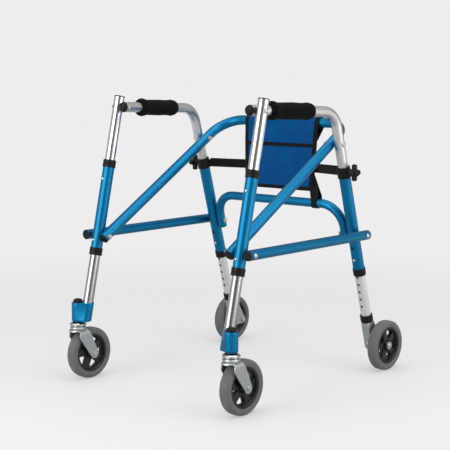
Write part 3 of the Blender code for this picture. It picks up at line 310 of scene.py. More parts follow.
def as_mesh(shape):
    mesh = bpy.data.meshes.new("form")
    shape.to_mesh(mesh)
    shape.free()
    return mesh


def turned(profile, place, sides=64, steps=4):
    """Spins (radius, height[, fillet]) points about the place's Z axis; off the axis, they form a ring."""
    hollow = min(point[0] for point in profile) > 0
    rows = []
    for radius, height in eased(profile, hollow, steps):
        angles = [2 * pi * i / sides for i in range(sides)]
        rows.append([place @ Vector((radius * cos(a), radius * sin(a), height)) for a in angles])
    return skin(rows, loop=hollow)


def pipe(start, end, diameter, wall=TUBE_WALL, spacing=0.006):
    """A straight tube open at both ends, with rings close enough for clean holes."""
    length = (end - start).length
    outer = diameter / 2
    inner = outer - wall
    count = max(int(length / spacing), 1)
    outside = [(outer, 0.0005 + (length - 0.001) * i / count) for i in range(count + 1)]
    rims = [(outer - 0.0004, length), (inner, length), (inner, length / 2), (inner, 0), (outer - 0.0004, 0)]
    return turned(outside + rims, placed(start, end - start))


def rod(start, end, diameter, sides=24):
    """A plain solid bar, used as a cutter and inside larger forms."""
    length = (end - start).length
    profile = [(0, 0), (diameter / 2, 0), (diameter / 2, length), (0, length)]
    return turned(profile, placed(start, end - start), sides)


def rounded_path(corners, radius, steps=24):
    """The path through the corners, with each inner one replaced by an arc."""
    path = [corners[0]]
    for before, corner, after in zip(corners, corners[1:], corners[2:]):
        back = (before - corner).normalized()
        ahead = (after - corner).normalized()
        half = back.angle(ahead) / 2
        centre = corner + (back + ahead).normalized() * (radius / sin(half))
        first = corner + back * (radius / tan(half)) - centre
        for step in range(steps + 1):
            swing = Matrix.Rotation((pi - 2 * half) * step / steps, 3, ahead.cross(back))
            path.append(centre + swing @ first)
    return path + [corners[-1]]


def swept(path, diameter, sides=64):
    """A round bar along the path, its two ends closed and their rims eased."""
    radius = diameter / 2
    rim = 0.0005
    ahead = (path[1] - path[0]).normalized()
    back = (path[-2] - path[-1]).normalized()
    stations = [(path[0], 0, ahead), (path[0], radius - rim, ahead), (path[0] + ahead * rim, radius, ahead)]
    for before, here, after in zip(path, path[1:], path[2:]):
        stations.append((here, radius, (after - before).normalized()))
    stations.append((path[-1] + back * rim, radius, -back))
    stations += [(path[-1], radius - rim, -back), (path[-1], 0, -back)]
    normal = ahead.orthogonal().normalized()
    rows = []
    for point, size, tangent in stations:
        normal = (normal - tangent * normal.dot(tangent)).normalized()
        side = tangent.cross(normal)
        angles = [2 * pi * i / sides for i in range(sides)]
        rows.append([point + (normal * cos(a) + side * sin(a)) * size for a in angles])
    return skin(rows)


def shown_mesh(obj):
    """The object's mesh with its modifiers applied; the object itself is removed."""
    bpy.context.view_layer.update()
    graph = bpy.context.evaluated_depsgraph_get()
    mesh = bpy.data.meshes.new_from_object(obj.evaluated_get(graph))
    bpy.data.objects.remove(obj, do_unlink=True)
    return mesh


def linked(name, data):
    obj = bpy.data.objects.new(name, data)
    SCENE.collection.objects.link(obj)
    return obj


def extruded(outlines, place, thickness, bevel=0.0005):
    """A plate with rounded edges from an outer (x, y) outline and any holes, centred in its thickness."""
    curve = bpy.data.curves.new("outline", "CURVE")
    curve.dimensions = "2D"
    curve.fill_mode = "BOTH"
    curve.extrude = thickness / 2 - bevel
    curve.bevel_depth = bevel
    curve.bevel_resolution = 2
    curve.offset = -bevel
    for outline in outlines:
        spline = curve.splines.new("POLY")
        spline.points.add(len(outline) - 1)
        spline.use_cyclic_u = True
        for point, (x, y) in zip(spline.points, outline):
            point.co = (x, y, 0, 1)
    mesh = shown_mesh(linked("outline", curve))
    shape = bmesh.new()
    shape.from_mesh(mesh)
    bmesh.ops.remove_doubles(shape, verts=shape.verts, dist=0.000002)
    bmesh.ops.transform(shape, matrix=place, verts=shape.verts)
    bmesh.ops.recalc_face_normals(shape, faces=shape.faces)
    return as_mesh(shape)


def merged(*meshes):
    shape = bmesh.new()
    shape.loops.layers.uv.new("UVMap")
    for mesh in meshes:
        shape.from_mesh(mesh)
    return as_mesh(shape)


def shaped(mesh, *steps):
    """The mesh after the given modifiers, each a kind with its settings."""
    obj = linked("shaping", mesh)
    for kind, settings in steps:
        modifier = obj.modifiers.new(kind.title(), kind)
        for key, value in settings.items():
            setattr(modifier, key, value)
    return shown_mesh(obj)


def pressed(rows, thickness):
    """A pressing of this thickness about a grid of points, with eased edges."""
    thick = ("SOLIDIFY", {"thickness": thickness, "offset": 0})
    soft = ("BEVEL", {"width": 0.0005, "segments": 2, "limit_method": "ANGLE", "angle_limit": radians(40)})
    return shaped(skin(rows, around=False), thick, soft)


def drilled(mesh, *cutters):
    """The mesh with the cutters' forms taken out of it."""
    tool = linked("cutter", merged(*cutters))
    result = shaped(mesh, ("BOOLEAN", {"operation": "DIFFERENCE", "solver": "EXACT", "object": tool}))
    bpy.data.objects.remove(tool, do_unlink=True)
    return result


def slab(place, size, bevel=0.0005):
    """A block centred on the place, with eased edges."""
    half = [length / 2 for length in size]
    outline = [(-half[0], -half[1]), (half[0], -half[1]), (half[0], half[1]), (-half[0], half[1])]
    return extruded([outline], place, size[2], bevel)


# Materials

def colour(red, green, blue):
    """A linear colour from the 0 to 255 levels of a screen colour."""
    levels = [level / 255 for level in (red, green, blue)]
    return tuple(x / 12.92 if x < 0.04045 else ((x + 0.055) / 1.055) ** 2.4 for x in levels) + (1,)


class Nodes:
    """A node tree, built up one node at a time."""

    def __init__(self, owner):
        owner.use_nodes = True
        self.tree = owner.node_tree

    def feed(self, socket, value):
        """Links the socket to another node's output, or sets it to a plain value."""
        if isinstance(value, bpy.types.NodeSocket):
            self.tree.links.new(value, socket)
        else:
            socket.default_value = value

    def add(self, kind, settings=None, **inputs):
        """A new node with its inputs given by name."""
        node = self.tree.nodes.new("ShaderNode" + kind)
        for key, value in (settings or {}).items():
            setattr(node, key, value)
        for key, value in inputs.items():
            self.feed(node.inputs[key.replace("_", " ")], value)
        return node

    def join(self, kind, *values, **settings):
        """A new node with its inputs given in order."""
        node = self.add(kind, settings)
        for socket, value in zip(node.inputs, values):
            self.feed(socket, value)
        return node


class Look(Nodes):
    """A node material with its shader."""

    def __init__(self, name, base, roughness, **settings):
        self.material = bpy.data.materials.new(name)
        super().__init__(self.material)
        self.shader = self.tree.nodes["Principled BSDF"]
        self.set("Base Color", base)
        self.set("Roughness", roughness)
        for key, value in settings.items():
            self.set(key.replace("_", " "), value)
        self.coordinates = self.tree.nodes.new("ShaderNodeTexCoord")

    def set(self, socket, value):
        self.shader.inputs[socket].default_value = value

    def drive(self, socket, source):
        self.tree.links.new(source, self.shader.inputs[socket])

    def where(self, space="Object", scale=(1, 1, 1)):
        """Texture coordinates stretched by a scale."""
        node = self.add("Mapping", Vector=self.coordinates.outputs[space])
        node.inputs["Scale"].default_value = scale
        return node.outputs["Vector"]

    def noise(self, size, detail=3, space="Object", stretch=(1, 1, 1), rough=0.5):
        """Noise from 0 to 1 whose features are about this size in metres."""
        where = self.where(space, stretch)
        settings = {"Vector": where, "Scale": 1 / size, "Detail": detail, "Roughness": rough}
        return self.add("TexNoise", **settings).outputs["Fac"]

    def spread(self, value, low, high, start=0.3, end=0.7):
        """The value's range from start to end, carried to the range from low to high."""
        return self.join("MapRange", value, start, end, low, high).outputs["Result"]

    def mix(self, share, first, second):
        node = self.add("Mix", {"data_type": "RGBA"})
        for number, value in ((0, share), (6, first), (7, second)):
            self.feed(node.inputs[number], value)
        return node.outputs[2]

    def sum(self, first, second, operation="ADD"):
        return self.join("Math", first, second, operation=operation).outputs[0]

    def bump(self, height, depth, strength=1.0):
        """Relief whose full height is this many metres."""
        node = self.add("Bump", Height=height, Distance=depth, Strength=strength)
        self.drive("Normal", node.outputs["Normal"])

    def edges(self, low=0.51, high=0.6):
        """1 along worn outer edges, 0 elsewhere."""
        geometry = self.add("NewGeometry")
        return self.spread(geometry.outputs["Pointiness"], 0, 1, low, high)


def tube_look(name, base, tint, roughness, metallic, **settings):
    """Drawn tube: fine lines along its length, faint blotches and a few handling scuffs."""
    look = Look(name, base, roughness, Metallic=metallic, **settings)
    lines = look.noise(0.0011, 3, "UV", (1, 0.02, 1), 0.6)
    blotches = look.noise(0.035, 4)
    scuffs = look.spread(look.noise(0.006, 6, "Object", (1, 1, 0.25), 0.7), 0, 1, 0.66, 0.74)
    toned = look.mix(look.spread(blotches, 0, 1), base, tint)
    look.drive("Base Color", look.mix(look.sum(scuffs, 0.12, "MULTIPLY"), toned, (0.8, 0.84, 0.86, 1)))
    rough = look.spread(lines, roughness * 0.8, roughness * 1.25)
    look.drive("Roughness", look.sum(rough, look.sum(scuffs, 0.12, "MULTIPLY")))
    look.bump(lines, 0.000003)
    return look.material


def plate_look(name, base, tint, roughness, metallic=1.0):
    """Zinc plate: soft crystal blotches, pits and brighter worn edges."""
    look = Look(name, base, roughness, Metallic=metallic)
    blotches = look.noise(0.006, 5, rough=0.65)
    pits = look.add("TexVoronoi", Vector=look.where(), Scale=900.0).outputs["Distance"]
    toned = look.mix(look.spread(blotches, 0, 1), base, tint)
    look.drive("Base Color", look.mix(look.sum(look.edges(), 0.4, "MULTIPLY"), toned, colour(232, 236, 236)))
    look.drive("Roughness", look.spread(blotches, roughness * 0.8, roughness * 1.2))
    look.bump(look.spread(pits, 0, 1, 0.0, 0.4), 0.00002, 0.5)
    return look.material


def plastic_look(name, base, tint, roughness, grain=0.0006, depth=0.00003, **settings):
    """Moulded plastic: fine grain, dust in the hollows and paler rubbed edges."""
    look = Look(name, base, roughness, **settings)
    fine = look.noise(grain, 2, rough=0.6)
    dust = look.noise(0.012, 5, rough=0.6)
    toned = look.mix(look.spread(dust, 0, 1), base, tint)
    worn = tuple(channel * 3 + 0.01 for channel in tint[:3]) + (1,)
    look.drive("Base Color", look.mix(look.sum(look.edges(), 0.5, "MULTIPLY"), toned, worn))
    look.drive("Roughness", look.spread(dust, roughness * 0.88, roughness * 1.12))
    look.bump(fine, depth)
    return look.material


def rubber_look():
    """Non-marking grey rubber: powdery, a little darker where it rolls, with fine pores."""
    base = colour(116, 119, 112)
    look = Look("grey rubber", base, 0.72, Sheen_Weight=0.15, Sheen_Roughness=0.5)
    cloudy = look.noise(0.014, 5, rough=0.6)
    specks = look.noise(0.0009, 3, rough=0.7)
    toned = look.mix(look.spread(cloudy, 0, 1), base, colour(101, 105, 99))
    speckled = look.mix(look.spread(specks, 0, 0.35, 0.55, 0.8), toned, colour(150, 152, 146))
    look.drive("Base Color", speckled)
    look.drive("Roughness", look.spread(cloudy, 0.64, 0.8))
    look.bump(specks, 0.00006)
    return look.material


def foam_look():
    """Closed-cell foam: dull black skin with small cells, with painted shade in their pits."""
    settings = {"Sheen_Weight": 0.02, "Sheen_Roughness": 0.6, "Specular_IOR_Level": 0.06}
    look = Look("black foam", colour(16, 18, 16), 0.88, **settings)
    cells = look.add("TexVoronoi", Vector=look.where(), Scale=1100.0).outputs["Distance"]
    soft = look.noise(0.01, 4)
    toned = look.mix(look.spread(soft, 0, 1), colour(11, 14, 11), colour(19, 22, 19))
    # Painted shade: darker towards each cell's centre, where the bump sinks into a pit.
    look.drive("Base Color", look.mix(look.spread(cells, 0.35, 0, 0.0, 0.3), toned, colour(9, 10, 10)))
    look.drive("Roughness", look.spread(soft, 0.8, 0.95))
    look.bump(look.sum(cells, look.sum(soft, 0.6, "MULTIPLY")), 0.00022)
    return look.material


def weave_height(look, pitch):
    """Plain weave: warp over weft by turns, as a height and a share of warp."""
    where = look.where("UV")
    split = look.add("SeparateXYZ", Vector=where)
    warp = look.sum(look.sum(split.outputs["X"], 2 * pi / pitch, "MULTIPLY"), 0.0, "SINE")
    weft = look.sum(look.sum(split.outputs["Y"], 2 * pi / pitch, "MULTIPLY"), 0.0, "SINE")
    crossing = look.sum(warp, weft, "MULTIPLY")
    return look.spread(crossing, 0, 1, -1, 1)


def cloth_look(name, base, tone_and_shade, pitch, roughness, sheen, depth):
    """Woven cloth: threads, slubs, cloudy tone, and painted shade in the dips of the weave."""
    look = Look(name, base, roughness, Sheen_Weight=sheen, Sheen_Roughness=0.45, Specular_IOR_Level=0.08)
    threads = weave_height(look, pitch)
    slubs = look.noise(0.003, 4, "UV", (1, 0.25, 1), 0.6)
    cloudy = look.noise(0.045, 3)
    toned = look.mix(look.spread(cloudy, 0, 1), base, tone_and_shade)
    # Painted shade: a darker copy of the second tone, laid into the weave's dips where the bump is lowest.
    darker = tuple(channel * 0.55 for channel in tone_and_shade[:3]) + (1,)
    look.drive("Base Color", look.mix(look.spread(threads, 0.32, 0, 0, 1), toned, darker))
    look.drive("Roughness", look.spread(slubs, roughness * 0.92, roughness * 1.06))
    look.bump(look.sum(threads, look.sum(slubs, 0.5, "MULTIPLY")), depth)
    return look.material


def webbing_look():
    """Ribbed tape: ribs across its width over a fine plain weave."""
    settings = {"Sheen_Weight": 0.06, "Sheen_Roughness": 0.5, "Specular_IOR_Level": 0.15}
    look = Look("black webbing", colour(14, 16, 16), 0.8, **settings)
    split = look.add("SeparateXYZ", Vector=look.where("UV"))
    ribs = look.sum(look.sum(split.outputs["Y"], 2 * pi / 0.0014, "MULTIPLY"), 0.0, "SINE")
    threads = weave_height(look, 0.0007)
    worn = look.noise(0.02, 4)
    toned = look.mix(look.spread(worn, 0, 1), colour(12, 15, 15), colour(24, 27, 27))
    # Painted shade: darker in the troughs between the ribs, where the bump is lowest.
    look.drive("Base Color", look.mix(look.spread(ribs, 0.4, 0, -1, 1), toned, colour(8, 9, 9)))
    look.bump(look.sum(look.spread(ribs, 0, 1, -1, 1), look.sum(threads, 0.4, "MULTIPLY")), 0.00016)
    return look.material


LOOKS = {
    "anodised_blue": tube_look(
        "anodised blue",
        (0, 0.205, 0.42, 1),
        (0, 0.18, 0.38, 1),
        0.4,
        0.88,
        Coat_Weight=0.15,
        Coat_Roughness=0.2,
    ),
    "polished_tube": tube_look("polished tube", (0.80, 0.79, 0.77, 1), (0.76, 0.75, 0.73, 1), 0.13, 1.0),
    "satin_tube": tube_look("satin tube", (0.74, 0.73, 0.72, 1), (0.69, 0.68, 0.67, 1), 0.3, 1.0),
    "zinc_steel": plate_look("zinc plate", colour(196, 203, 203), colour(178, 186, 187), 0.36),
    "chrome_fastener": plate_look("bright fastener", colour(214, 214, 210), colour(196, 197, 195), 0.16),
    "black_plastic": plastic_look(
        "black plastic", colour(14, 16, 16), colour(22, 24, 24), 0.42, Specular_IOR_Level=0.2
    ),
    "black_foam": foam_look(),
    "grey_tyre": rubber_look(),
    "blue_fabric": cloth_look(
        "blue fabric", colour(0, 86, 152), colour(0, 76, 140), 0.0009, 0.7, 0.03, 0.00009
    ),
    "black_webbing": webbing_look(),
}
STITCH = cloth_look("black thread", colour(18, 20, 22), colour(30, 32, 34), 0.0006, 0.6, 0.2, 0.00004)
# A darker copy of the polished tube's look, for the front slide tubes: painted shade.
SHADED_POLISHED_TUBE = tube_look("polished tube painted shade", (0.5, 0.5, 0.49, 1), (0.44, 0.44, 0.43, 1), 0.22, 1.0)
# A paler, less metallic copy of the satin tube's look, for the rear slide tubes: painted light.
LIT_SATIN_TUBE = tube_look("satin tube painted light", (0.88, 0.87, 0.86, 1), (0.83, 0.82, 0.81, 1), 0.34, 0.6)
HUB_PLASTIC = plastic_look("hub plastic", colour(15, 17, 17), colour(23, 26, 26), 0.34, 0.0004, 0.00001)


def piece(name, mesh, slot, body="frame", replaces=(), angle=38, look=None):
    """Puts a finished mesh in the scene, with its look, its body and the CAD nodes that it stands for."""
    mesh.name = name
    mesh.materials.clear()
    mesh.materials.append(look or LOOKS[slot])
    for face in mesh.polygons:
        face.use_smooth = True
        face.material_index = 0
    mesh.set_sharp_from_angle(angle=radians(angle))
    obj = linked(name, mesh)
    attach(obj, body)
    if replaces:
        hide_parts(*replaces)
    return obj


# Tubes, collars and fasteners

def hole_cutter(axis, x, height, diameter):
    start = axis.at(x, height)
    return rod(start, start + axis.forward * LEG_DIAMETER, diameter)


def slot_cutter(axis, x, button_height, top):
    """The slot in a sliding tube that the snap button runs in."""
    half = HEIGHT_TRAVEL + BUTTON_DIAMETER / 2 + 2 * FIT_GAP
    low = axis.at(x, button_height) - axis.direction * half
    high = axis.at(x, max(top, button_height)) + axis.direction * half
    centre = (low + high) / 2 + axis.forward * POST_DIAMETER / 2
    size = (BUTTON_DIAMETER + 4 * FIT_GAP, POST_DIAMETER / 2, (high - low).length)
    return slab(placed(centre, axis.direction), size)


def plug(place, diameter, dome=0.0022, lip=0.0009, depth=0.006):
    """A pressed-in end cap with a thin rim and a shallow dome."""
    outer = diameter / 2
    profile = [
        (0, dome),
        (outer * 0.55, dome * 0.82),
        (outer - 0.0006, lip, 0.0006),
        (outer, lip * 0.4, 0.0003),
        (outer, 0),
        (outer - TUBE_WALL, 0),
        (outer - TUBE_WALL, -depth),
        (0, -depth),
    ]
    return turned(profile, place)


def collar(place, lip, sleeve, wall, groove=True):
    """A sleeve over the end of a leg whose lip closes down on the sliding tube."""
    leg_bore = LEG_DIAMETER / 2 + FIT_GAP
    outer = leg_bore + wall
    middle = (sleeve - lip) / 2
    profile = [(POST_DIAMETER / 2 + FIT_GAP, -lip, 0.0004), (outer - 0.0003, -lip, 0.0013)]
    if groove:
        profile += [(outer, middle - 0.0012, 0.0004), (outer - 0.0008, middle - 0.0006, 0.0003)]
        profile += [(outer - 0.0008, middle + 0.0004, 0.0003), (outer, middle + 0.001, 0.0004)]
    profile += [(outer, sleeve, 0.0011), (leg_bore, sleeve), (leg_bore, 0), (POST_DIAMETER / 2 + FIT_GAP, 0)]
    return turned(profile, place)


def hex_nut(place, across, height):
    """A hexagon nut with a washer face, standing up along local Z."""
    points = arc((0, 0), across / 2, 0, 300, 5)
    prism = extruded([points], place @ Matrix.Translation((0, 0, height / 2)), height, 0.0005)
    face = turned([(0, 0), (across * 0.56, 0), (across * 0.56, 0.0007, 0.0002), (0, 0.0007)], place)
    return merged(prism, face)


def dome_head(place, diameter, height, washer=0.0):
    """A domed head with a faint dimple, on a thin washer if one is given."""
    radius = diameter / 2
    profile = [(0, height - 0.0005), (radius * 0.14, height - 0.0005, 0.0002), (radius * 0.2, height, 0.0003)]
    profile += [(radius * 0.66, height * 0.8, 0.003), (radius, 0.0006, 0.0006), (radius, 0), (0, 0)]
    head = turned(profile, place, 40)
    if not washer:
        return head
    ring = turned([(0, 0), (washer / 2, 0, 0.0002), (washer / 2, 0.0008, 0.0003), (0, 0.0008)], place)
    return merged(head, ring)


def through_bolt(y, z, outer_x, inner_x, sign):
    """A bolt along X: domed head outside, shank, and a nut inside with the bolt's end showing."""
    outside = placed((sign * outer_x, y, z), (sign, 0, 0))
    inside = placed((sign * inner_x, y, z), (-sign, 0, 0))
    tip = Vector((sign * (inner_x - NUT_HEIGHT - 0.0015), y, z))
    shank = rod(tip, Vector((sign * outer_x, y, z)), BOLT_DIAMETER)
    head = dome_head(outside, BOLT_HEAD_DIAMETER, BOLT_HEAD_HEIGHT)
    return merged(head, hex_nut(inside, NUT_DIAMETER, NUT_HEIGHT), shank)


def snap_button(axis, x, height):
    """A domed pin with a soft shoulder."""
    radius = BUTTON_DIAMETER / 2
    length = BUTTON_PROUD + BUTTON_DEPTH
    profile = [(0, length), (radius * 0.5, length - 0.00025), (radius, length - 0.0014, 0.001)]
    profile += [(radius, 0), (0, 0)]
    start = axis.at(x, height) + axis.forward * (LEG_DIAMETER / 2 - BUTTON_DEPTH)
    return turned(profile, placed(start, axis.forward), 32)


def handle_direction(sign):
    """From the bend towards the front: inward, to pass inside the post, and rising a little."""
    run = REAR.at(0, HANDLE_HEIGHT).y - FRONT.at(0, HANDLE_HEIGHT).y
    return Vector((-sign * (POST_DIAMETER + HANDLE_SADDLE), -run, run * HANDLE_FALL)).normalized()


def handle_front(sign, beyond_post):
    """A point on the hand bar, this far in front of the post's axis."""
    corner = REAR.at(sign * LEG_X, HANDLE_HEIGHT)
    direction = handle_direction(sign)
    return corner + direction * ((corner.y - FRONT.at(0, HANDLE_HEIGHT).y + beyond_post) / -direction.y)


def make_legs(side, sign):
    x = sign * LEG_X
    hole = BUTTON_DIAMETER + 2 * FIT_GAP
    front = pipe(FRONT.at(x, FRONT_LEG_BOTTOM), FRONT.at(x, FRONT_LEG_TOP), LEG_DIAMETER)
    cutters = [hole_cutter(FRONT, x, height, hole) for height in (POST_BUTTON_HEIGHT, FRONT_BUTTON_HEIGHT)]
    piece(side + "_front_leg_tube", drilled(front, *cutters), "anodised_blue", replaces=[side + "_front_leg"])
    rear = pipe(REAR.at(x, REAR_LEG_BOTTOM), REAR.at(x, REAR_LEG_TOP), LEG_DIAMETER)
    spare = REAR_BUTTON_HEIGHT + HOLE_PITCH * cos(REAR.lean)
    cutters = [hole_cutter(REAR, x, height, hole) for height in (REAR_BUTTON_HEIGHT, spare)]
    piece(side + "_rear_leg_tube", drilled(rear, *cutters), "anodised_blue", replaces=[side + "_rear_leg"])
    collars = (
        ("_front_upper_collar", FRONT.at(x, FRONT_LEG_TOP), -FRONT.direction),
        ("_front_lower_collar", FRONT.at(x, FRONT_LEG_BOTTOM), FRONT.direction),
        ("_rear_lower_collar", REAR.at(x, REAR_LEG_BOTTOM), REAR.direction),
    )
    for name, point, onto_leg in collars:
        ring = collar(placed(point, onto_leg), COLLAR_LIP, COLLAR_SLEEVE, COLLAR_WALL)
        piece(side + name + "_ring", ring, "black_plastic", replaces=[side + name])


def make_post(side, sign):
    """The polished front post, its cap and the bolt that holds the hand bar to it."""
    x = sign * LEG_X
    top = FRONT.at(x, POST_TOP) - FRONT.direction * POST_CAP_DOME
    tube = pipe(FRONT.at(x, POST_BOTTOM), top, POST_DIAMETER)
    hole = hole_cutter(FRONT, x, POST_BUTTON_HEIGHT, BUTTON_DIAMETER + 2 * FIT_GAP)
    piece(side + "_post_tube", drilled(tube, hole), "polished_tube", replaces=[side + "_front_post"])
    cap = plug(placed(top, FRONT.direction), POST_DIAMETER + 0.001, POST_CAP_DOME, 0.0022, 0.008)
    piece(side + "_post_cap", cap, "black_plastic")
    bar = handle_front(sign, 0)
    outside = Vector((sign * (LEG_X + POST_DIAMETER / 2 - 0.0002), bar.y, bar.z))
    inside = Vector((sign * (abs(bar.x) - POST_DIAMETER / 2 + 0.0002), bar.y, bar.z))
    head = dome_head(placed(outside, (sign, 0, 0)), HANDLE_BOLT_HEAD, 0.0034, 0.0125)
    nut = hex_nut(placed(inside, (-sign, 0, 0)), HANDLE_BOLT_HEAD, 0.0048)
    shank = rod(inside, outside, BOLT_DIAMETER)
    piece(side + "_handle_bolt", merged(head, nut, shank), "chrome_fastener")


def make_handle(side, sign):
    x = sign * LEG_X
    direction = handle_direction(sign)
    start = handle_front(sign, HANDLE_OVERHANG)
    corners = [start, REAR.at(x, HANDLE_HEIGHT), REAR.at(x, HANDLE_TUBE_BOTTOM)]
    bar = swept(rounded_path(corners, HANDLE_BEND_RADIUS), POST_DIAMETER)
    piece(side + "_handle_bar", bar, "satin_tube", replaces=[side + "_handle_tube"])
    radius = POST_DIAMETER / 2 + 0.0001
    dome = [(0, 0.009), (0.0062, 0.0086, 0.004), (0.0112, 0.0056, 0.004), (radius, 0.0012, 0.002)]
    dome += [(radius, 0, 0.0003), (radius - TUBE_WALL, 0), (radius - TUBE_WALL, -0.006), (0, -0.006)]
    piece(side + "_bar_end_cap", turned(dome, placed(start, direction), steps=6), "black_plastic")
    bar_point = handle_front(sign, 0)
    post_x = sign * (LEG_X - POST_DIAMETER / 2)
    middle = Vector(((post_x + bar_point.x + sign * POST_DIAMETER / 2) / 2, bar_point.y, bar_point.z))
    reach = Vector((0.0028, 0, 0))
    saddle = rod(middle - reach, middle + reach, SADDLE_DIAMETER, 40)
    piece(side + "_handle_saddle", saddle, "black_plastic")
    make_grip(side, sign, direction)


def make_grip(side, sign, direction):
    """The foam sleeve: a bulb and a neck at the front, a low swell between, and a rolled rear end."""
    half = GRIP_LENGTH / 2
    bore = POST_DIAMETER / 2 + FIT_GAP
    big = GRIP_DIAMETER / 2
    waist = GRIP_WAIST / 2
    profile = [
        (bore, half - 0.004),
        (bore + 0.0008, half, 0.0006),
        (big - 0.0048, half, 0.004),
        (big + 0.0005, half - 0.007, 0.008),
        (big + 0.0001, half - 0.0135, 0.006),
        (waist - 0.0001, half - 0.024, 0.012),
        (waist, half - 0.036, 0.02),
        (waist + 0.0007, -0.004, 0.04),
        (waist - 0.0001, -half + 0.034, 0.02),
        (big - 0.0012, -half + 0.016, 0.012),
        (big - 0.0034, -half + 0.004, 0.007),
        (big - 0.0070, -half, 0.003),
        (bore + 0.0008, -half, 0.0006),
        (bore, -half + 0.004),
    ]
    centre = handle_front(sign, -GRIP_FROM_POST) - direction * half
    sleeve = turned(profile, placed(centre, direction), 96, 8)
    for vertex in sleeve.vertices:
        lumps = noise.noise(vertex.co * 60) * 0.0004 + noise.noise(vertex.co * 170) * 0.00015
        off_axis = vertex.co - centre
        off_axis -= direction * off_axis.dot(direction)
        if off_axis.length > bore + 0.002:
            vertex.co += off_axis.normalized() * lumps
    foam = piece(side + "_grip_foam", sleeve, "black_foam", replaces=[side + "_hand_grip"])


def make_clamp(side, sign):
    """The clamp on the rear leg's top with its boss and strap lug, and the lobed knob outside."""
    x = sign * LEG_X
    top = REAR.at(x, REAR_LEG_TOP)
    centre = REAR.at(x, CLAMP_HEIGHT)
    outward = Vector((sign, 0, 0))
    ring = collar(placed(top, -REAR.direction), CLAMP_LIP, CLAMP_SLEEVE, CLAMP_WALL, groove=False)
    boss_start = centre + outward * (LEG_DIAMETER / 2 + FIT_GAP + CLAMP_WALL / 2)
    boss_radius = CLAMP_BOSS_DIAMETER / 2
    boss_length = CLAMP_BOSS_END - (boss_start - centre).length
    profile = [(0, boss_length), (boss_radius, boss_length, 0.0008), (boss_radius, 0.0012, 0.0015)]
    boss = turned(profile + [(boss_radius + 0.0012, 0), (0, 0)], placed(boss_start, outward))
    anchor = strap_anchor(sign)
    lug_centre = Vector((anchor.x + sign * (CLAMP_LUG[0] / 2 + 0.0004), anchor.y, centre.z))
    lug = slab(Matrix.Translation(lug_centre), CLAMP_LUG, 0.0014)
    piece(side + "_clamp_casting", merged(ring, boss, lug), "black_plastic", replaces=[side + "_rear_clamp"])
    face = centre + outward * (CLAMP_BOSS_END + FIT_GAP)
    lobes = []
    for step in range(96):
        angle = 2 * pi * step / 96
        wave = cos(KNOB_LOBES * angle)
        bulge = abs(wave) ** 0.45 * (1 if wave > 0 else -1)
        size = KNOB_DIAMETER / 2 - KNOB_LOBE_DEPTH + KNOB_LOBE_DEPTH * bulge
        lobes.append((size * cos(angle), size * sin(angle)))
    star = extruded([lobes], placed(face + outward * KNOB_BOSS_LENGTH / 2, outward), KNOB_THICKNESS, 0.0026)
    radius = KNOB_BOSS_DIAMETER / 2
    profile = [(0, KNOB_BOSS_LENGTH - 0.0012), (radius * 0.55, KNOB_BOSS_LENGTH - 0.0012, 0.0006)]
    profile += [(radius * 0.62, KNOB_BOSS_LENGTH, 0.0006), (radius - 0.0004, KNOB_BOSS_LENGTH, 0.0018)]
    profile += [(radius, 0, 0.0008), (0, 0)]
    hub = turned(profile, placed(face, outward))
    piece(side + "_knob_moulding", merged(star, hub), "black_plastic", side + "_knob", [side + "_clamp_knob"])


def make_rail(side, sign):
    """The side rail with its caps, the spacers behind it, and the three frame bolts."""
    x = sign * RAIL_X
    front = FRONT.at(x, RAIL_HEIGHT)
    rear = REAR.at(x, RAIL_HEIGHT)
    start = front - Vector((0, RAIL_FRONT_OVERHANG - 0.0018, 0))
    end = rear + Vector((0, RAIL_REAR_OVERHANG - 0.0018, 0))
    tube = pipe(start, end, RAIL_DIAMETER, spacing=0.02)
    piece(side + "_rail_tube", tube, "anodised_blue", replaces=[side + "_side_rail"])
    caps = [plug(placed(point, (0, way, 0)), RAIL_DIAMETER, 0.0018) for point, way in ((start, -1), (end, 1))]
    piece(side + "_rail_caps", merged(*caps), "black_plastic")
    near_leg = LEG_X + LEG_DIAMETER / 2 - 0.0012
    near_rail = RAIL_X - RAIL_DIAMETER / 2 + 0.0012
    spacers = []
    for point in (front, rear):
        inner = Vector((sign * near_leg, point.y, point.z))
        outer = Vector((sign * near_rail, point.y, point.z))
        spacers.append(rod(inner, outer, SPACER_DIAMETER, 40))
    piece(side + "_rail_spacers", merged(*spacers), "black_plastic")
    rail_outer = RAIL_X + RAIL_DIAMETER / 2 + FIT_GAP
    cross_inner = CROSS_X - FRAME_DIAMETER / 2 - FIT_GAP
    arch_inner = ARCH_X - ARCH_DIAMETER / 2 - FIT_GAP
    post_outer = LEG_X + POST_DIAMETER / 2 + FIT_GAP
    upper = REAR.at(0, CROSS_BOLT_HEIGHT)
    bolts = (
        ("_front_rail_bolt", front, rail_outer, cross_inner),
        ("_rear_rail_bolt", rear, rail_outer, arch_inner),
        ("_cross_bolt", upper, post_outer, cross_inner),
    )
    for name, point, outer_x, inner_x in bolts:
        bolt = through_bolt(point.y, point.z, outer_x, inner_x, sign)
        piece(side + name + "_set", bolt, "chrome_fastener", replaces=[side + name])


def make_buttons(side, sign):
    x = sign * LEG_X
    pins = (("_post", FRONT, POST_BUTTON_HEIGHT), ("_front", FRONT, FRONT_BUTTON_HEIGHT))
    for end, axis, height in pins + (("_rear", REAR, REAR_BUTTON_HEIGHT),):
        pin = snap_button(axis, x, height)
        piece(side + end + "_pin", pin, "chrome_fastener", side + end + "_snap", [side + end + "_button"])


# Cross frame and rear arch

def cross_line():
    low = FRONT.at(0, RAIL_HEIGHT)
    high = REAR.at(0, CROSS_BOLT_HEIGHT)
    return low, (high - low).normalized()


def cross_corner(sign):
    low, direction = cross_line()
    point = low + direction * ((TOP_BAR_HEIGHT - low.z) / direction.z)
    return Vector((sign * CROSS_X, point.y, point.z))


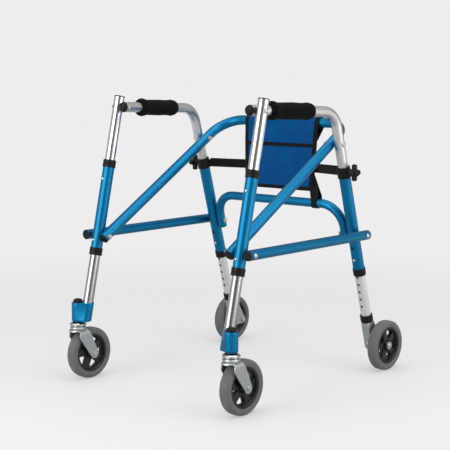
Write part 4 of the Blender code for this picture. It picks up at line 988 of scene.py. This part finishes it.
def make_cross_frame():
    low, direction = cross_line()
    end = low - direction * CROSS_OVERHANG
    ends = [Vector((sign * CROSS_X, end.y, end.z)) for sign in (1, -1)]
    path = rounded_path([ends[0], cross_corner(1), cross_corner(-1), ends[1]], CROSS_BEND_RADIUS)
    piece("cross_frame_tube", swept(path, FRAME_DIAMETER), "anodised_blue", replaces=["cross_frame"])
    caps = [plug(placed(point, -direction), FRAME_DIAMETER, 0.003) for point in ends]
    piece("cross_frame_caps", merged(*caps), "black_plastic")


def make_rear_arch():
    low = REAR.at(ARCH_X, RAIL_HEIGHT) - REAR.direction * ARCH_OVERHANG
    high = REAR.at(ARCH_X, ARCH_HEIGHT)
    flip = Vector((-1, 1, 1))
    path = rounded_path([low, high, high * flip, low * flip], ARCH_BEND_RADIUS)
    piece("rear_arch_tube", swept(path, ARCH_DIAMETER), "anodised_blue", replaces=["rear_arch"])
    caps = [plug(placed(point, -REAR.direction), ARCH_DIAMETER, 0.0016) for point in (low, low * flip)]
    piece("rear_arch_caps", merged(*caps), "black_plastic")


# Casters, brackets and wheels

def round_two(first, first_radius, second, second_radius):
    """The outline, as (x, y), of a band drawn tight round two circles."""
    away = first - second
    facing = degrees(atan2(away.y, away.x))
    reach = degrees(acos((second_radius - first_radius) / away.xy.length))
    outline = arc(first, first_radius, facing - reach, facing + reach, 24)
    return outline + arc(second, second_radius, facing + reach, facing + 360 - reach, 24)


def make_front_slider(side, sign):
    x = sign * LEG_X
    body = side + "_front_slider"
    tube = pipe(FRONT.at(x, BLOCK_BOTTOM + BLOCK_FLOOR), FRONT.at(x, FRONT_EXTENSION_TOP), POST_DIAMETER)
    low = FRONT.at(x, RAIL_HEIGHT) - FRONT.direction * (HEIGHT_TRAVEL + BOLT_DIAMETER / 2 + 4 * FIT_GAP)
    high = FRONT.at(x, FRONT_EXTENSION_TOP) + FRONT.direction * POST_DIAMETER
    size = (2 * LEG_DIAMETER, BOLT_DIAMETER + 4 * FIT_GAP, (high - low).length)
    bolt_slot = slab(placed((low + high) / 2, FRONT.direction), size)
    button_slot = slot_cutter(FRONT, x, FRONT_BUTTON_HEIGHT, FRONT_EXTENSION_TOP)
    tube = drilled(drilled(tube, bolt_slot), button_slot)
    stands_for = [side + "_front_extension"]
    # The front slide tube gets the darker copy of the polished look: painted shade.
    piece(side + "_front_slide_tube", tube, "polished_tube", body, stands_for, look=SHADED_POLISHED_TUBE)
    stem = Vector((sign * STEM_X, STEM_Y, 0))
    levels = [(0, 0.0013), (0.0004, 0.0004), (0.0013, 0)]
    height = BLOCK_TOP - BLOCK_BOTTOM
    levels += [(height * i / 8, 0) for i in range(1, 8)]
    levels += [(height - rise, inset) for rise, inset in reversed(levels[:3])]
    rows = []
    for rise, inset in levels:
        barrel = FRONT.at(x, BLOCK_BOTTOM + rise)
        leg_radius = POST_DIAMETER / 2 + FIT_GAP + LEG_BARREL_WALL - inset
        outline = round_two(stem, STEM_BARREL_DIAMETER / 2 - inset, barrel, leg_radius)
        rows.append([Vector((px, py, barrel.z)) for px, py in outline])
    socket_floor = FRONT.at(x, BLOCK_BOTTOM + BLOCK_FLOOR) - FRONT.direction * FIT_GAP
    socket = rod(socket_floor, FRONT.at(x, BLOCK_TOP + POST_DIAMETER), POST_DIAMETER + 2 * FIT_GAP, 48)
    low = stem + Vector((0, 0, BLOCK_BOTTOM - 0.01))
    high = stem + Vector((0, 0, BLOCK_TOP + 0.01))
    casting = drilled(gathered(rows), socket, rod(low, high, KINGPIN_DIAMETER + 2 * FIT_GAP, 48))
    piece(side + "_block_casting", casting, "anodised_blue", body, [side + "_caster_block"])


def crown_front(x):
    return -sqrt(max(CROWN_RADIUS ** 2 - x * x, 0))


def fork_section():
    """The fork seen from the front, as (x, z) from one arm's tip over the crown to the other's."""
    half = FORK_WIDTH / 2 - FORK_PLATE / 2
    roof = CROWN_HEIGHT - FORK_PLATE / 2
    bend = FORK_BEND
    tip = FORK_TIP_DIAMETER / 2
    heights = [AXLE_HEIGHT - tip * cos(radians(angle)) for angle in (0, 12, 24, 36, 48, 60, 75, 90, 105)]
    heights += [0.070, 0.075, 0.080, 0.086, 0.093, 0.100, 0.107, 0.112, roof - bend]
    arm = [(half, height) for height in heights]
    corner = arc((half - bend, roof - bend), bend, 10, 90, 8)
    top = [(blend(half - bend, 0, i / 5), roof) for i in range(1, 5)]
    one_side = arm + corner + top
    return one_side + [(0, roof)] + [(-x, z) for x, z in reversed(one_side)]


def fork_edges(x, z):
    """The front and rear edge of the pressing at a point of its section, measured from the stem."""
    tip = FORK_TIP_DIAMETER / 2
    roof = CROWN_HEIGHT - FORK_PLATE / 2
    if z > roof - FORK_BEND - 0.0001:
        share = max((z - roof + FORK_BEND) / FORK_BEND, 0)
        return blend(-0.0105, crown_front(x), share), blend(0.0222, 0.0165, share)
    front_touch = AXLE_HEIGHT - tip * sin(radians(30))
    rear_touch = AXLE_HEIGHT + tip * sin(radians(15))
    front_y = FORK_TRAIL - tip * cos(radians(30))
    rear_y = FORK_TRAIL + tip * cos(radians(15))
    shoulder = [(0.100, -0.0068), (0.107, -0.0112), (0.112, -0.0118), (0.119, -0.0105)]
    front = follow([(front_touch, front_y)] + shoulder, z)
    rear = follow([(rear_touch, rear_y), (0.128, 0.0183)], z)
    reach = sqrt(max(tip ** 2 - (AXLE_HEIGHT - z) ** 2, 0))
    if z < front_touch:
        front = FORK_TRAIL - reach
    if z < rear_touch:
        rear = FORK_TRAIL + reach
    return front, rear


def fork_pressing(sign):
    """A pressed fork: round crown, arched mouth with a rolled edge, and two tapering arms."""
    rows = []
    for x, z in fork_section():
        front, rear = fork_edges(x, z)
        lip = ease(0.0197, 0.006, abs(x)) if z > 0.118 else 0
        row = [
            Vector((x, front - 0.0003 * lip, z - 0.0040 * lip)),
            Vector((x, front - 0.0003 * lip + 0.00001, z - 0.0024 * lip)),
            Vector((x, blend(front, rear, 0.015), z - 0.0010 * lip)),
        ]
        for step in range(13):
            row.append(Vector((x, blend(front, rear, 0.06 + 0.94 * step / 12), z)))
        rows.append([Vector((sign * STEM_X, STEM_Y, 0)) + point for point in row])
    return pressed(rows, FORK_PLATE)


def make_caster(side, sign):
    body = side + "_caster"
    stem = Vector((sign * STEM_X, STEM_Y, 0))
    piece(side + "_fork_pressing", fork_pressing(sign), "zinc_steel", body, [side + "_caster_fork"])
    base = CROWN_HEIGHT - 0.0004
    race = RACE_DIAMETER / 2
    pin = KINGPIN_DIAMETER / 2
    pin_top = BLOCK_TOP + 0.002
    rings = []
    for number in (0, 1):
        low = base + number * RACE_HEIGHT
        high = low + RACE_HEIGHT
        profile = [(pin, low), (race - 0.003, low, 0.0008), (race, low + 0.0026, 0.002)]
        profile += [(race, high - 0.0032, 0.002), (race - 0.0028, high - 0.0007, 0.0012)]
        profile += [(pin, high - 0.0005)]
        rings.append(turned(profile, placed(stem), 96, 6))
    top = base + 2 * RACE_HEIGHT
    rings.append(turned([(0, top - 0.004), (pin, top - 0.004), (pin, pin_top), (0, pin_top)], placed(stem)))
    piece(side + "_races", merged(*rings), "chrome_fastener", body)
    seat = BLOCK_BOTTOM - FIT_GAP
    washer = [(pin + 0.0002, top - 0.0006), (0.0145, top - 0.0006, 0.0005)]
    washer += [(0.0128, seat, 0.0008), (pin + 0.0002, seat)]
    foot = BLOCK_TOP + FIT_GAP
    cap = [(0, foot + STEM_CAP_HEIGHT), (0.0072, foot + 0.0086, 0.003), (0.0112, foot + 0.0062, 0.003)]
    cap += [(STEM_CAP_RADIUS, foot + 0.0004, 0.0003), (STEM_CAP_RADIUS, foot), (0, foot)]
    plastic = merged(turned(washer, placed(stem)), turned(cap, placed(stem)))
    piece(side + "_stem_cap", plastic, "black_plastic", body)
    centre = Vector((sign * STEM_X, FRONT_AXLE_Y, AXLE_HEIGHT))
    parts = [rod(centre - Vector((0.021, 0, 0)), centre + Vector((0.021, 0, 0)), AXLE_DIAMETER - 0.0006)]
    for way in (1, -1):
        face = placed(centre + Vector((way * (FORK_WIDTH / 2 + 0.0001), 0, 0)), (way, 0, 0))
        profile = [(0, 0.0014), (0.0011, 0.0014, 0.0003), (0.0014, 0.0024, 0.0004), (0.0032, 0.0026, 0.0006)]
        profile += [(0.0042, 0.0012, 0.0005), (0.0048, 0.0012, 0.0005)]
        profile += [(0.00625, 0.0014, 0.0007), (0.00625, 0), (0, 0)]
        parts.append(turned(profile, face, 48))
    piece(side + "_fork_rivet", merged(*parts), "zinc_steel", body, [side + "_front_axle"])


def window_outline(number, turn):
    """One opening between two spokes, with rounded corners."""
    outer = RIM_DIAMETER / 2 - RIM_DEPTH - 0.001
    inner = HUB_DIAMETER / 2 + WEB_HUB_MARGIN
    middle = radians(360 / WEB_WINDOWS * number + turn)
    half = pi / WEB_WINDOWS
    outer_half = half - asin(SPOKE_WIDTH / 2 / outer)
    inner_half = half - asin(SPOKE_WIDTH / 2 / inner)
    bow = outer / cos(outer_half / 2)
    corners = (
        (outer, -outer_half, 0.0055),
        (bow, -outer_half / 2, 0.02),
        (bow, outer_half / 2, 0.02),
        (outer, outer_half, 0.0055),
        (inner, inner_half, 0.0025),
        (inner, -inner_half, 0.0025),
    )
    points = [(r * cos(middle + a), r * sin(middle + a), fillet) for r, a, fillet in corners]
    return [(point.x, point.y) for point in eased(points, True, 5)]


def make_wheel(side, end, centre, sign, turn):
    """Grey tyre with round shoulders on a black hub with five deep spokes."""
    body = f"{side}_{end}_wheel"
    place = placed(centre, (sign, 0, 0))
    outer = TYRE_DIAMETER / 2
    bore = RIM_DIAMETER / 2 + FIT_GAP
    half = TYRE_WIDTH / 2
    upper_half = [
        (bore, half - 0.003),
        (bore + 0.0008, half - 0.0022, 0.0005),
        (bore + 0.0042, half - 0.0004, 0.003),
        (outer - 0.006, half, 0.004),
        (outer - 0.0004, half - 0.0042, 0.0062),
        (outer, 0.003, 0.02),
    ]
    tyre = turned(mirrored(upper_half), place, 128, 6)
    piece(f"{side}_{end}_tyre_tread", tyre, "grey_tyre", body, [f"{side}_{end}_tyre"])
    rim = RIM_DIAMETER / 2
    inner = rim - RIM_DEPTH
    half = RIM_WIDTH / 2
    rim_profile = [(rim, half, 0.0008), (rim, -half, 0.0008), (inner + 0.003, -half, 0.001)]
    rim_profile += [(inner + 0.001, -half + 0.0025, 0.001), (inner - 0.0004, -0.005, 0.003)]
    rim_profile += [(inner - 0.0004, 0.005, 0.003), (inner + 0.001, half - 0.0025, 0.001)]
    rim_profile += [(inner + 0.003, half, 0.001)]
    disc = arc((0, 0), rim - 0.0035, 0, 350, 35)
    windows = [window_outline(number, turn) for number in range(WEB_WINDOWS)]
    web = extruded([disc] + windows, place, WEB_THICKNESS, 0.0016)
    boss = HUB_DIAMETER / 2
    bore = AXLE_DIAMETER / 2 + FIT_GAP
    reach = HUB_WIDTH / 2
    boss_profile = mirrored([(bore, reach), (boss - 0.002, reach, 0.0008), (boss, reach - 0.004, 0.0015)])
    hub = merged(turned(rim_profile, place, 96), web, turned(boss_profile, place))
    piece(f"{side}_{end}_hub_moulding", hub, "black_plastic", body, [f"{side}_{end}_hub"], look=HUB_PLASTIC)


def bracket_pressing(sign):
    """A folded channel, open to the rear: a front web and two cheeks that widen towards the axle."""
    top = REAR.at(0, REAR_EXTENSION_BOTTOM) - REAR.direction * BRACKET_COLLAR_FLOOR / 2
    half_depth = BRACKET_DEPTH / 2
    foot = REAR.at(0, AXLE_HEIGHT).y
    front_top = (top + REAR.forward * half_depth).yz
    rear_top = (top - REAR.forward * half_depth).yz
    toe = [Vector(point) for point in arc((foot, AXLE_HEIGHT), half_depth, 195, 255, 6)]
    heel = [Vector(point) for point in arc((REAR_AXLE_Y, AXLE_HEIGHT), BRACKET_TIP_DIAMETER / 2, 30, -90, 6)]
    front_line = [blend(front_top, toe[0], i / 8) for i in range(8)] + toe
    rear_line = [blend(rear_top, heel[0], i / 8) for i in range(8)] + heel
    middle = BRACKET_WIDTH / 2 - BRACKET_PLATE / 2
    bend = 0.0032
    corner = arc((middle - bend, bend), bend, 0, -90, 5)
    rows = []
    for front, rear in zip(front_line, rear_line):
        depth = (rear - front).length
        ahead = (rear - front).normalized()
        cheek = [(middle, blend(depth, bend, i / 5)) for i in range(5)]
        section = cheek + corner + [(0.004, 0)]
        section += [(-x, reach) for x, reach in reversed(section)]
        row = []
        for x, reach in section:
            point = front + ahead * reach
            row.append(Vector((sign * LEG_X + x, point.x, point.y)))
        rows.append(row)
    return pressed(rows, BRACKET_PLATE)


def make_rear_slider(side, sign):
    x = sign * LEG_X
    body = side + "_rear_slider"
    tube = pipe(REAR.at(x, REAR_EXTENSION_BOTTOM), REAR.at(x, REAR_EXTENSION_TOP), POST_DIAMETER)
    cutters = [slot_cutter(REAR, x, REAR_BUTTON_HEIGHT, REAR_EXTENSION_TOP)]
    for number in range(EXTENSION_HOLES):
        height = EXTENSION_LOWEST_HOLE + number * EXTENSION_HOLE_PITCH * cos(REAR.lean)
        cutters.append(hole_cutter(REAR, x, height, BUTTON_DIAMETER))
    stands_for = [side + "_rear_extension"]
    tube = drilled(tube, *cutters)
    # The rear slide tube gets the paler copy of the satin look: painted light.
    piece(side + "_rear_slide_tube", tube, "satin_tube", body, stands_for, look=LIT_SATIN_TUBE)
    foot = REAR.at(x, REAR_EXTENSION_BOTTOM)
    bore = POST_DIAMETER / 2 + FIT_GAP
    outer = LEG_DIAMETER / 2 + FIT_GAP + COLLAR_WALL
    top = BRACKET_COLLAR_HEIGHT - BRACKET_COLLAR_FLOOR
    profile = [(0, -FIT_GAP), (bore, -FIT_GAP), (bore, top), (outer, top, 0.001), (outer, 0.002, 0.002)]
    profile += [(outer - 0.0012, -BRACKET_COLLAR_FLOOR, 0.0012), (0, -BRACKET_COLLAR_FLOOR)]
    piece(side + "_bracket_collar", turned(profile, placed(foot, REAR.direction)), "black_plastic", body)
    piece(side + "_bracket_pressing", bracket_pressing(sign), "zinc_steel", body, [side + "_wheel_bracket"])
    rivet_place = REAR.at(x, 0.072) + REAR.forward * (BRACKET_DEPTH / 2 + BRACKET_PLATE / 2 - 0.0002)
    rivet = dome_head(placed(rivet_place, REAR.forward), 0.006, 0.0018)
    piece(side + "_bracket_rivet", rivet, "chrome_fastener", body)
    outside = Vector((sign * (REAR_WHEEL_X + HUB_WIDTH / 2 + FIT_GAP), REAR_AXLE_Y, AXLE_HEIGHT))
    inside = Vector((sign * (LEG_X - BRACKET_WIDTH / 2 - FIT_GAP), REAR_AXLE_Y, AXLE_HEIGHT))
    face = placed(outside, (sign, 0, 0))
    washer_radius = AXLE_WASHER_DIAMETER / 2
    thick = AXLE_WASHER_THICKNESS
    washer = [(0, thick), (washer_radius * 0.55, thick, 0.001)]
    washer += [(washer_radius * 0.62, thick + 0.0003, 0.0004)]
    washer += [(washer_radius, thick - 0.0003, 0.0006), (washer_radius, 0), (0, 0)]
    head = dome_head(face @ Matrix.Translation((0, 0, thick)), AXLE_HEAD_DIAMETER, 0.0036)
    nut = hex_nut(placed(inside, (-sign, 0, 0)), AXLE_HEAD_DIAMETER, NUT_HEIGHT)
    axle = merged(turned(washer, face), head, nut, rod(inside, outside, AXLE_DIAMETER - 0.0004))
    piece(side + "_rear_axle_bolt", axle, "zinc_steel", body, [side + "_rear_axle"])


# Back panel and strap

def strap_anchor(sign):
    clamp = REAR.at(sign * LEG_X, CLAMP_HEIGHT)
    radius = LEG_DIAMETER / 2 + FIT_GAP + CLAMP_WALL
    return clamp + Vector((-sign * (radius + CLAMP_LUG_GAP), radius * 0.75, 0))


SLEEVE_RADIUS = 0.0152
SLEEVE_JOIN = 0.585
SWELL_TOP = 0.622
TAPE_THICKNESS = 0.0008
TIE_HALF_THICKNESS = 0.0009
BAR = cross_corner(1)


def front_line_y(height):
    """The middle of the panel's front sheet at this height."""
    return BAR.y - SLEEVE_RADIUS - (BAR.z - height) * tan(PANEL_LEAN)


def panel_path():
    """The cloth's way up the front, over the top bar and down behind it.

    Each step is a point, its outward normal and half the cloth's thickness there.
    """
    path = []
    for step in range(41):
        height = blend(PANEL_BOTTOM, BAR.z, step / 40)
        half = blend(0.0021, 0.0011, ease(0.575, 0.61, height))
        outward = Vector((-cos(PANEL_LEAN), -sin(PANEL_LEAN)))
        path.append((Vector((front_line_y(height), height)), outward, half))
    centre = Vector((BAR.y, BAR.z))
    join = Vector((front_line_y(SLEEVE_JOIN) + 0.0034, SLEEVE_JOIN))
    away = join - centre
    leave = degrees(atan2(away.y, away.x)) + degrees(acos(SLEEVE_RADIUS / away.length))
    for step in range(1, 25):
        angle = radians(blend(180 - degrees(PANEL_LEAN), leave, step / 24))
        outward = Vector((cos(angle), sin(angle)))
        path.append((centre + outward * SLEEVE_RADIUS, outward, 0.0011))
    last = path[-1][0]
    for step in range(1, 11):
        path.append((blend(last, join, step / 10), path[64][1], 0.0011))
    return path


def panel_half_width(height):
    share = min((height - PANEL_BOTTOM) / (BAR.z - PANEL_BOTTOM), 1)
    return blend(PANEL_HALF_WIDTH_BOTTOM, PANEL_HALF_WIDTH_TOP, max(share, 0))


def panel_swell(x, height):
    """How far the padded cloth stands forward of its flat line between the bands, with its small folds."""
    across = 1 - (x / panel_half_width(height)) ** 2
    lower = sin(pi * clamped((height - PANEL_BOTTOM) / (PANEL_BAND_HEIGHT - PANEL_BOTTOM)))
    upper = sin(pi * clamped((height - PANEL_BAND_HEIGHT) / (SWELL_TOP - PANEL_BAND_HEIGHT)))
    folds = noise.noise(Vector((x * 14, height * 22, 3.1))) * 0.0011
    folds += noise.noise(Vector((x * 38 + height * 22, height * 15 - x * 10, 7.7))) * 0.0005
    pull = ease(0.05, 0.11, abs(x)) * ease(0.52, 0.46, height)
    creases = sin(abs(x) * 420 + height * 260) * 0.00035 * pull
    return across * (0.0024 * lower + 0.0016 * upper) + (folds + creases) * ease(0, 0.25, across + 0.1)


def on_panel(x, spot, lift):
    """A point on the cloth at this x, raised along its outward normal."""
    point, outward, half = spot
    rise = lift
    if point.x < BAR.y - SLEEVE_RADIUS * 0.9 and point.y < 0.625:
        rise += panel_swell(x, point.y)
    place = point + outward * rise
    return Vector((x, place.x, place.y))


def cloth_ring(xs, spot):
    """One closed row round the cloth: over its outside from side to side, and back along its inside."""
    half = spot[2]
    outside = [on_panel(x, spot, half) for x in xs]
    inside = [on_panel(x, spot, -half) for x in reversed(xs)]
    return outside + inside


def bound_edge(path, sign, width, inset=0.0):
    """Tape folded over one side edge of the cloth, along the whole path."""
    rows = []
    for spot in path:
        edge = panel_half_width(spot[0].y) + 0.0009 - inset
        lift = spot[2] + TAPE_THICKNESS
        section = [(edge - width, lift - 0.0006), (edge - width + 0.0006, lift)]
        section += [(edge - 0.0012, lift), (edge, lift - 0.0012)]
        section += [(x, -rise) for x, rise in reversed(section)]
        rows.append([on_panel(sign * x, spot, rise) for x, rise in section])
    return gathered(rows)


def cross_band(path, low, high, round_edge=False):
    """Tape sewn across the panel's front between two heights, or folded over its bottom edge."""
    spots = [spot for spot in path[:41] if low - 0.0001 <= spot[0].y <= high + 0.0001]
    if len(spots) < 4:
        outward = path[0][1]
        heights = [blend(low, high, i / 4) for i in range(5)]
        spots = [(Vector((front_line_y(height), height)), outward, path[5][2]) for height in heights]
    lift = spots[0][2] + TAPE_THICKNESS
    rows = []
    for index in range(49):
        share = index / 48 * 2 - 1
        row = []
        for spot in spots:
            row.append(on_panel(share * (panel_half_width(spot[0].y) - 0.002), spot, lift))
        back = -lift if round_edge else spots[0][2] - 0.0006
        for spot in reversed(spots):
            row.append(on_panel(share * (panel_half_width(spot[0].y) - 0.002), spot, back))
        rows.append(row)
    if round_edge:
        for row in rows:
            row[0] = row[0] + Vector((0, 0, -0.0006))
            row[-1] = row[-1] + Vector((0, 0, -0.0006))
    return gathered(rows)


def stitches(points, outwards, length=0.0022, gap=0.0013, size=0.00028):
    """A run of short raised stitches along a line of points."""
    shape = bmesh.new()
    travelled = 0
    for (start, end), outward in zip(zip(points, points[1:]), outwards):
        step = end - start
        along = step.normalized()
        offset = -travelled % (length + gap)
        while offset + length <= step.length + 0.0005:
            middle = start + along * (offset + length / 2) + outward * size * 0.3
            frame_axes = Matrix((along.cross(outward), outward, along)).transposed().to_4x4()
            place = Matrix.Translation(middle) @ frame_axes @ Matrix.Diagonal((size, size, length / 2, 1))
            bmesh.ops.create_uvsphere(shape, u_segments=6, v_segments=4, radius=1, matrix=place)
            offset += length + gap
        travelled += step.length
    return as_mesh(shape)


def make_back_panel():
    path = panel_path()
    rows = []
    for spot in path:
        half = panel_half_width(spot[0].y)
        xs = [blend(-half, half, i / 48) for i in range(49)]
        rows.append(cloth_ring(xs, spot))
    closing = []
    for row, spot in ((rows[0], path[0]), (rows[-1], path[-1])):
        xs = [point.x for point in row[:49]]
        flat = [on_panel(x, spot, 0) for x in xs]
        closing.append(flat + flat[::-1])
    cloth = skin([closing[0]] + rows + [closing[1]])
    panel = piece("panel_cloth", cloth, "blue_fabric", replaces=["back_panel"], angle=70)
    for side, sign in SIDES.items():
        tape = bound_edge(path, sign, 0.0118)
        piece(side + "_panel_binding", tape, "black_webbing", angle=60)
        piece(side + "_panel_tie", tie_loop(sign), "black_webbing", angle=60)
    band = cross_band(path, PANEL_BAND_HEIGHT - 0.0048, PANEL_BAND_HEIGHT + 0.0048)
    piece("panel_mid_band", band, "black_webbing", angle=60)
    hem = cross_band(path, PANEL_BOTTOM - 0.0004, PANEL_BOTTOM + 0.0085, True)
    piece("panel_hem", hem, "black_webbing", angle=60)
    piece("panel_stitching", panel_stitching(path), "black_webbing", look=STITCH)


def panel_stitching(path):
    rows = []
    front = [spot for spot in path[:40:3]]
    for sign in (1, -1):
        for inset in (0.0098, 0.0024):
            points = []
            for spot in front:
                x = sign * (panel_half_width(spot[0].y) - inset)
                points.append(on_panel(x, spot, spot[2] + TAPE_THICKNESS))
            rows.append((points, Vector((0, -1, 0))))
    for height in (PANEL_BAND_HEIGHT - 0.0034, PANEL_BAND_HEIGHT + 0.0034, PANEL_BOTTOM + 0.0066):
        spot = (Vector((front_line_y(height), height)), path[0][1], 0.0021)
        half = panel_half_width(height) - 0.0122
        points = [on_panel(blend(-half, half, i / 30), spot, 0.0029) for i in range(31)]
        rows.append((points, Vector((0, -1, 0))))
    return merged(*[stitches(points, [outward] * len(points)) for points, outward in rows])


def tie_loop(sign):
    """A tie that flares from the panel's lower corner, passes round the arch and is sewn back on itself."""
    arch = REAR.at(0, ARCH_HEIGHT)
    top = (0.1035, 0.1130) if TIE_INNER[sign] > PANEL_HALF_WIDTH_BOTTOM else (0.0925, 0.1060)
    centre = Vector((arch.y, arch.z))
    radius = ARCH_DIAMETER / 2 + 0.0014
    start = Vector((front_line_y(TIE_FLARE_TOP) + 0.0012, TIE_FLARE_TOP + 0.004))
    line = [blend(start, centre + Vector((radius, 0.001)), i / 12) for i in range(12)]
    loop = [centre + radius * Vector((cos(radians(a)), sin(radians(a)))) for a in range(0, -211, -15)]
    join = Vector((front_line_y(0.470) + 0.0005, 0.472))
    back = [blend(loop[-1], join, i / 10) for i in range(1, 11)]
    points = line + loop + back
    inner = TIE_INNER[sign]
    inner_edge = [(0.434, inner), (PANEL_BOTTOM, min(inner, 0.1075)), (TIE_FLARE_TOP, top[0])]
    outer_edge = [(0.446, inner + TIE_WIDTH), (TIE_FLARE_TOP, top[1])]
    rows = []
    for index, (point, along) in enumerate(zip(points, headings(points))):
        outward = Vector((along.y, -along.x)) * TIE_HALF_THICKNESS
        low = follow(inner_edge, point.y)
        high = follow(outer_edge, point.y)
        ripple = noise.noise(Vector((index * 0.21, sign * 4.0, 0.5))) * 0.0005
        row = []
        for side_lift in (1, -1):
            xs = [blend(low, high, i / 8) for i in range(9)]
            for x in xs if side_lift > 0 else reversed(xs):
                spot = point + outward * side_lift + outward * (ripple / TIE_HALF_THICKNESS)
                row.append(Vector((sign * x, spot.x, spot.y)))
        rows.append(row)
    return flattened(rows)


def make_cross_strap():
    """Webbing from lug to lug behind the panel."""
    anchor = strap_anchor(1)
    edge = PANEL_HALF_WIDTH_BOTTOM + 0.008
    end = anchor.x + 0.004
    flat = [(end, anchor.y), (edge, STRAP_BEHIND_PANEL, 0.05)]
    flat += [(-edge, STRAP_BEHIND_PANEL, 0.05), (-end, anchor.y)]
    bent = eased(flat, steps=8)
    line = []
    for start, stop in zip(bent, bent[1:]):
        steps = max(int((stop - start).length / 0.008), 1)
        line += [blend(start, stop, i / steps) for i in range(steps)]
    line.append(Vector(flat[-1]))
    half = STRAP_HEIGHT / 2
    rows = []
    for point, along in zip(line, headings(line)):
        outward = Vector((-along.y, along.x)) * (STRAP_THICKNESS / 2 - 0.0002)
        sag = -0.0012 * (1 - (point.x / end) ** 2)
        twist = 0.03 * sin(point.x * 13)
        row = []
        for side_lift in (1, -1):
            heights = [-half, -half + 0.0006, -half / 2, 0, half / 2, half - 0.0006, half]
            for height in heights if side_lift > 0 else reversed(heights):
                thin = 0.55 if abs(height) > half - 0.0005 else 1
                spot = point + outward * side_lift * thin
                row.append(Vector((spot.x, spot.y + height * twist, STRAP_CENTRE_HEIGHT + height + sag)))
        rows.append(row)
    strap = piece("strap_webbing", flattened(rows), "black_webbing", replaces=["cross_strap"], angle=60)


# Stage

BACKDROP = colour(238, 237, 238)
STUDIO_LEVELS = (
    (0, 0.36),
    (0.2, 0.36),
    (0.44, 0.5),
    (0.64, 0.88),
    (0.82, 1.0),
    (0.9, 0.85),
    (0.94, 0.5),
    (0.975, 0.22),
    (1, 0.13),
)


def make_camera():
    level = Vector((sin(CAMERA_AZIMUTH), -cos(CAMERA_AZIMUTH), 0))
    back = level * cos(CAMERA_PITCH) + Vector((0, 0, sin(CAMERA_PITCH)))
    right = Vector((cos(CAMERA_AZIMUTH), sin(CAMERA_AZIMUTH), 0))
    up = back.cross(right)
    data = bpy.data.cameras.new("camera")
    data.lens = CAMERA_LENS
    data.sensor_width = 36
    camera = linked("camera", data)
    camera.matrix_world = Matrix.Translation(CAMERA_PLACE) @ Matrix((right, up, back)).transposed().to_4x4()
    SCENE.camera = camera


def softbox(name, towards, distance, size, power, aim=(0, 0, 0.4)):
    """A large area lamp, this far from its aim in the given direction."""
    data = bpy.data.lights.new(name, "AREA")
    data.shape = "RECTANGLE"
    data.size, data.size_y = size
    data.energy = power
    lamp = linked(name, data)
    lamp.matrix_world = placed(Vector(aim) + Vector(towards).normalized() * distance, towards)


def make_world():
    """Pale background, soft fill, and for metal a graded studio that falls dark behind the view."""
    world = bpy.data.worlds.new("studio")
    SCENE.world = world
    nodes = Nodes(world)
    nodes.tree.nodes.clear()
    direction = nodes.add("TexCoord").outputs["Generated"]
    towards_view = (sin(CAMERA_AZIMUTH), -cos(CAMERA_AZIMUTH), 0.1)
    dot = nodes.join("VectorMath", direction, towards_view, operation="DOT_PRODUCT")
    span = nodes.join("MapRange", dot.outputs["Value"], -1)
    ramp = nodes.add("ValToRGB", Fac=span.outputs["Result"])
    elements = ramp.color_ramp.elements
    while len(elements) < len(STUDIO_LEVELS):
        elements.new(0.5)
    for element, (position, level) in zip(elements, STUDIO_LEVELS):
        element.position = position
        element.color = (level, level * 0.99, level * 0.985, 1)
    paths = nodes.add("LightPath").outputs
    fill = nodes.add("Background", Color=(0.42, 0.42, 0.42, 1))
    metal = nodes.add("Background", Color=ramp.outputs["Color"])
    backdrop = nodes.add("Background", Color=BACKDROP)
    lit = nodes.join("MixShader", paths["Is Glossy Ray"], fill.outputs[0], metal.outputs[0])
    plain = nodes.join("Math", paths["Is Camera Ray"], paths["Is Transmission Ray"], operation="MAXIMUM")
    seen = nodes.join("MixShader", plain.outputs[0], lit.outputs[0], backdrop.outputs[0])
    nodes.add("OutputWorld", Surface=seen.outputs[0])


def make_floor():
    """A wide pale floor that fades into the backdrop's colour away from the object."""
    shape = bmesh.new()
    bmesh.ops.create_grid(shape, x_segments=24, y_segments=24, size=14)
    floor = linked("floor", as_mesh(shape))
    look = Look("floor", (0.55, 0.546, 0.55, 1), 0.6, Specular_IOR_Level=0.2)
    distance = look.join("VectorMath", look.coordinates.outputs["Object"], operation="LENGTH")
    fade = look.join("MapRange", distance.outputs["Value"], 0.55, 2.2, interpolation_type="SMOOTHSTEP")
    lift = look.sum(look.add("LightPath").outputs["Is Camera Ray"], 0.45, "MULTIPLY")
    paler = look.add("Emission", Color=BACKDROP, Strength=lift)
    ground = look.join("AddShader", look.shader.outputs[0], paler.outputs[0])
    glow = look.add("Emission", Color=BACKDROP)
    mix = look.join("MixShader", fade.outputs["Result"], ground.outputs[0], glow.outputs[0])
    look.feed(look.tree.nodes["Material Output"].inputs["Surface"], mix.outputs[0])
    floor.data.materials.append(look.material)


make_camera()
make_world()
make_floor()
softbox("key", (-0.12, -0.99, 0.28), 2.3, (1.5, 1.8), 21)
softbox("fill", (0.98, 0.2, 0.25), 2.4, (1.4, 1.8), 15)
softbox("overhead", (0.1, 0.05, 1), 2.0, (2.2, 2.2), 19)
SCENE.view_settings.view_transform = "Standard"

for side, sign in SIDES.items():
    make_legs(side, sign)
    make_post(side, sign)
    make_handle(side, sign)
    make_clamp(side, sign)
    make_rail(side, sign)
    make_buttons(side, sign)
    make_front_slider(side, sign)
    make_caster(side, sign)
    make_rear_slider(side, sign)
    make_wheel(side, "front", Vector((sign * STEM_X, FRONT_AXLE_Y, AXLE_HEIGHT)), sign, -105)
    make_wheel(side, "rear", Vector((sign * REAR_WHEEL_X, REAR_AXLE_Y, AXLE_HEIGHT)), sign, -75)
make_cross_frame()
make_rear_arch()
make_back_panel()
make_cross_strap()
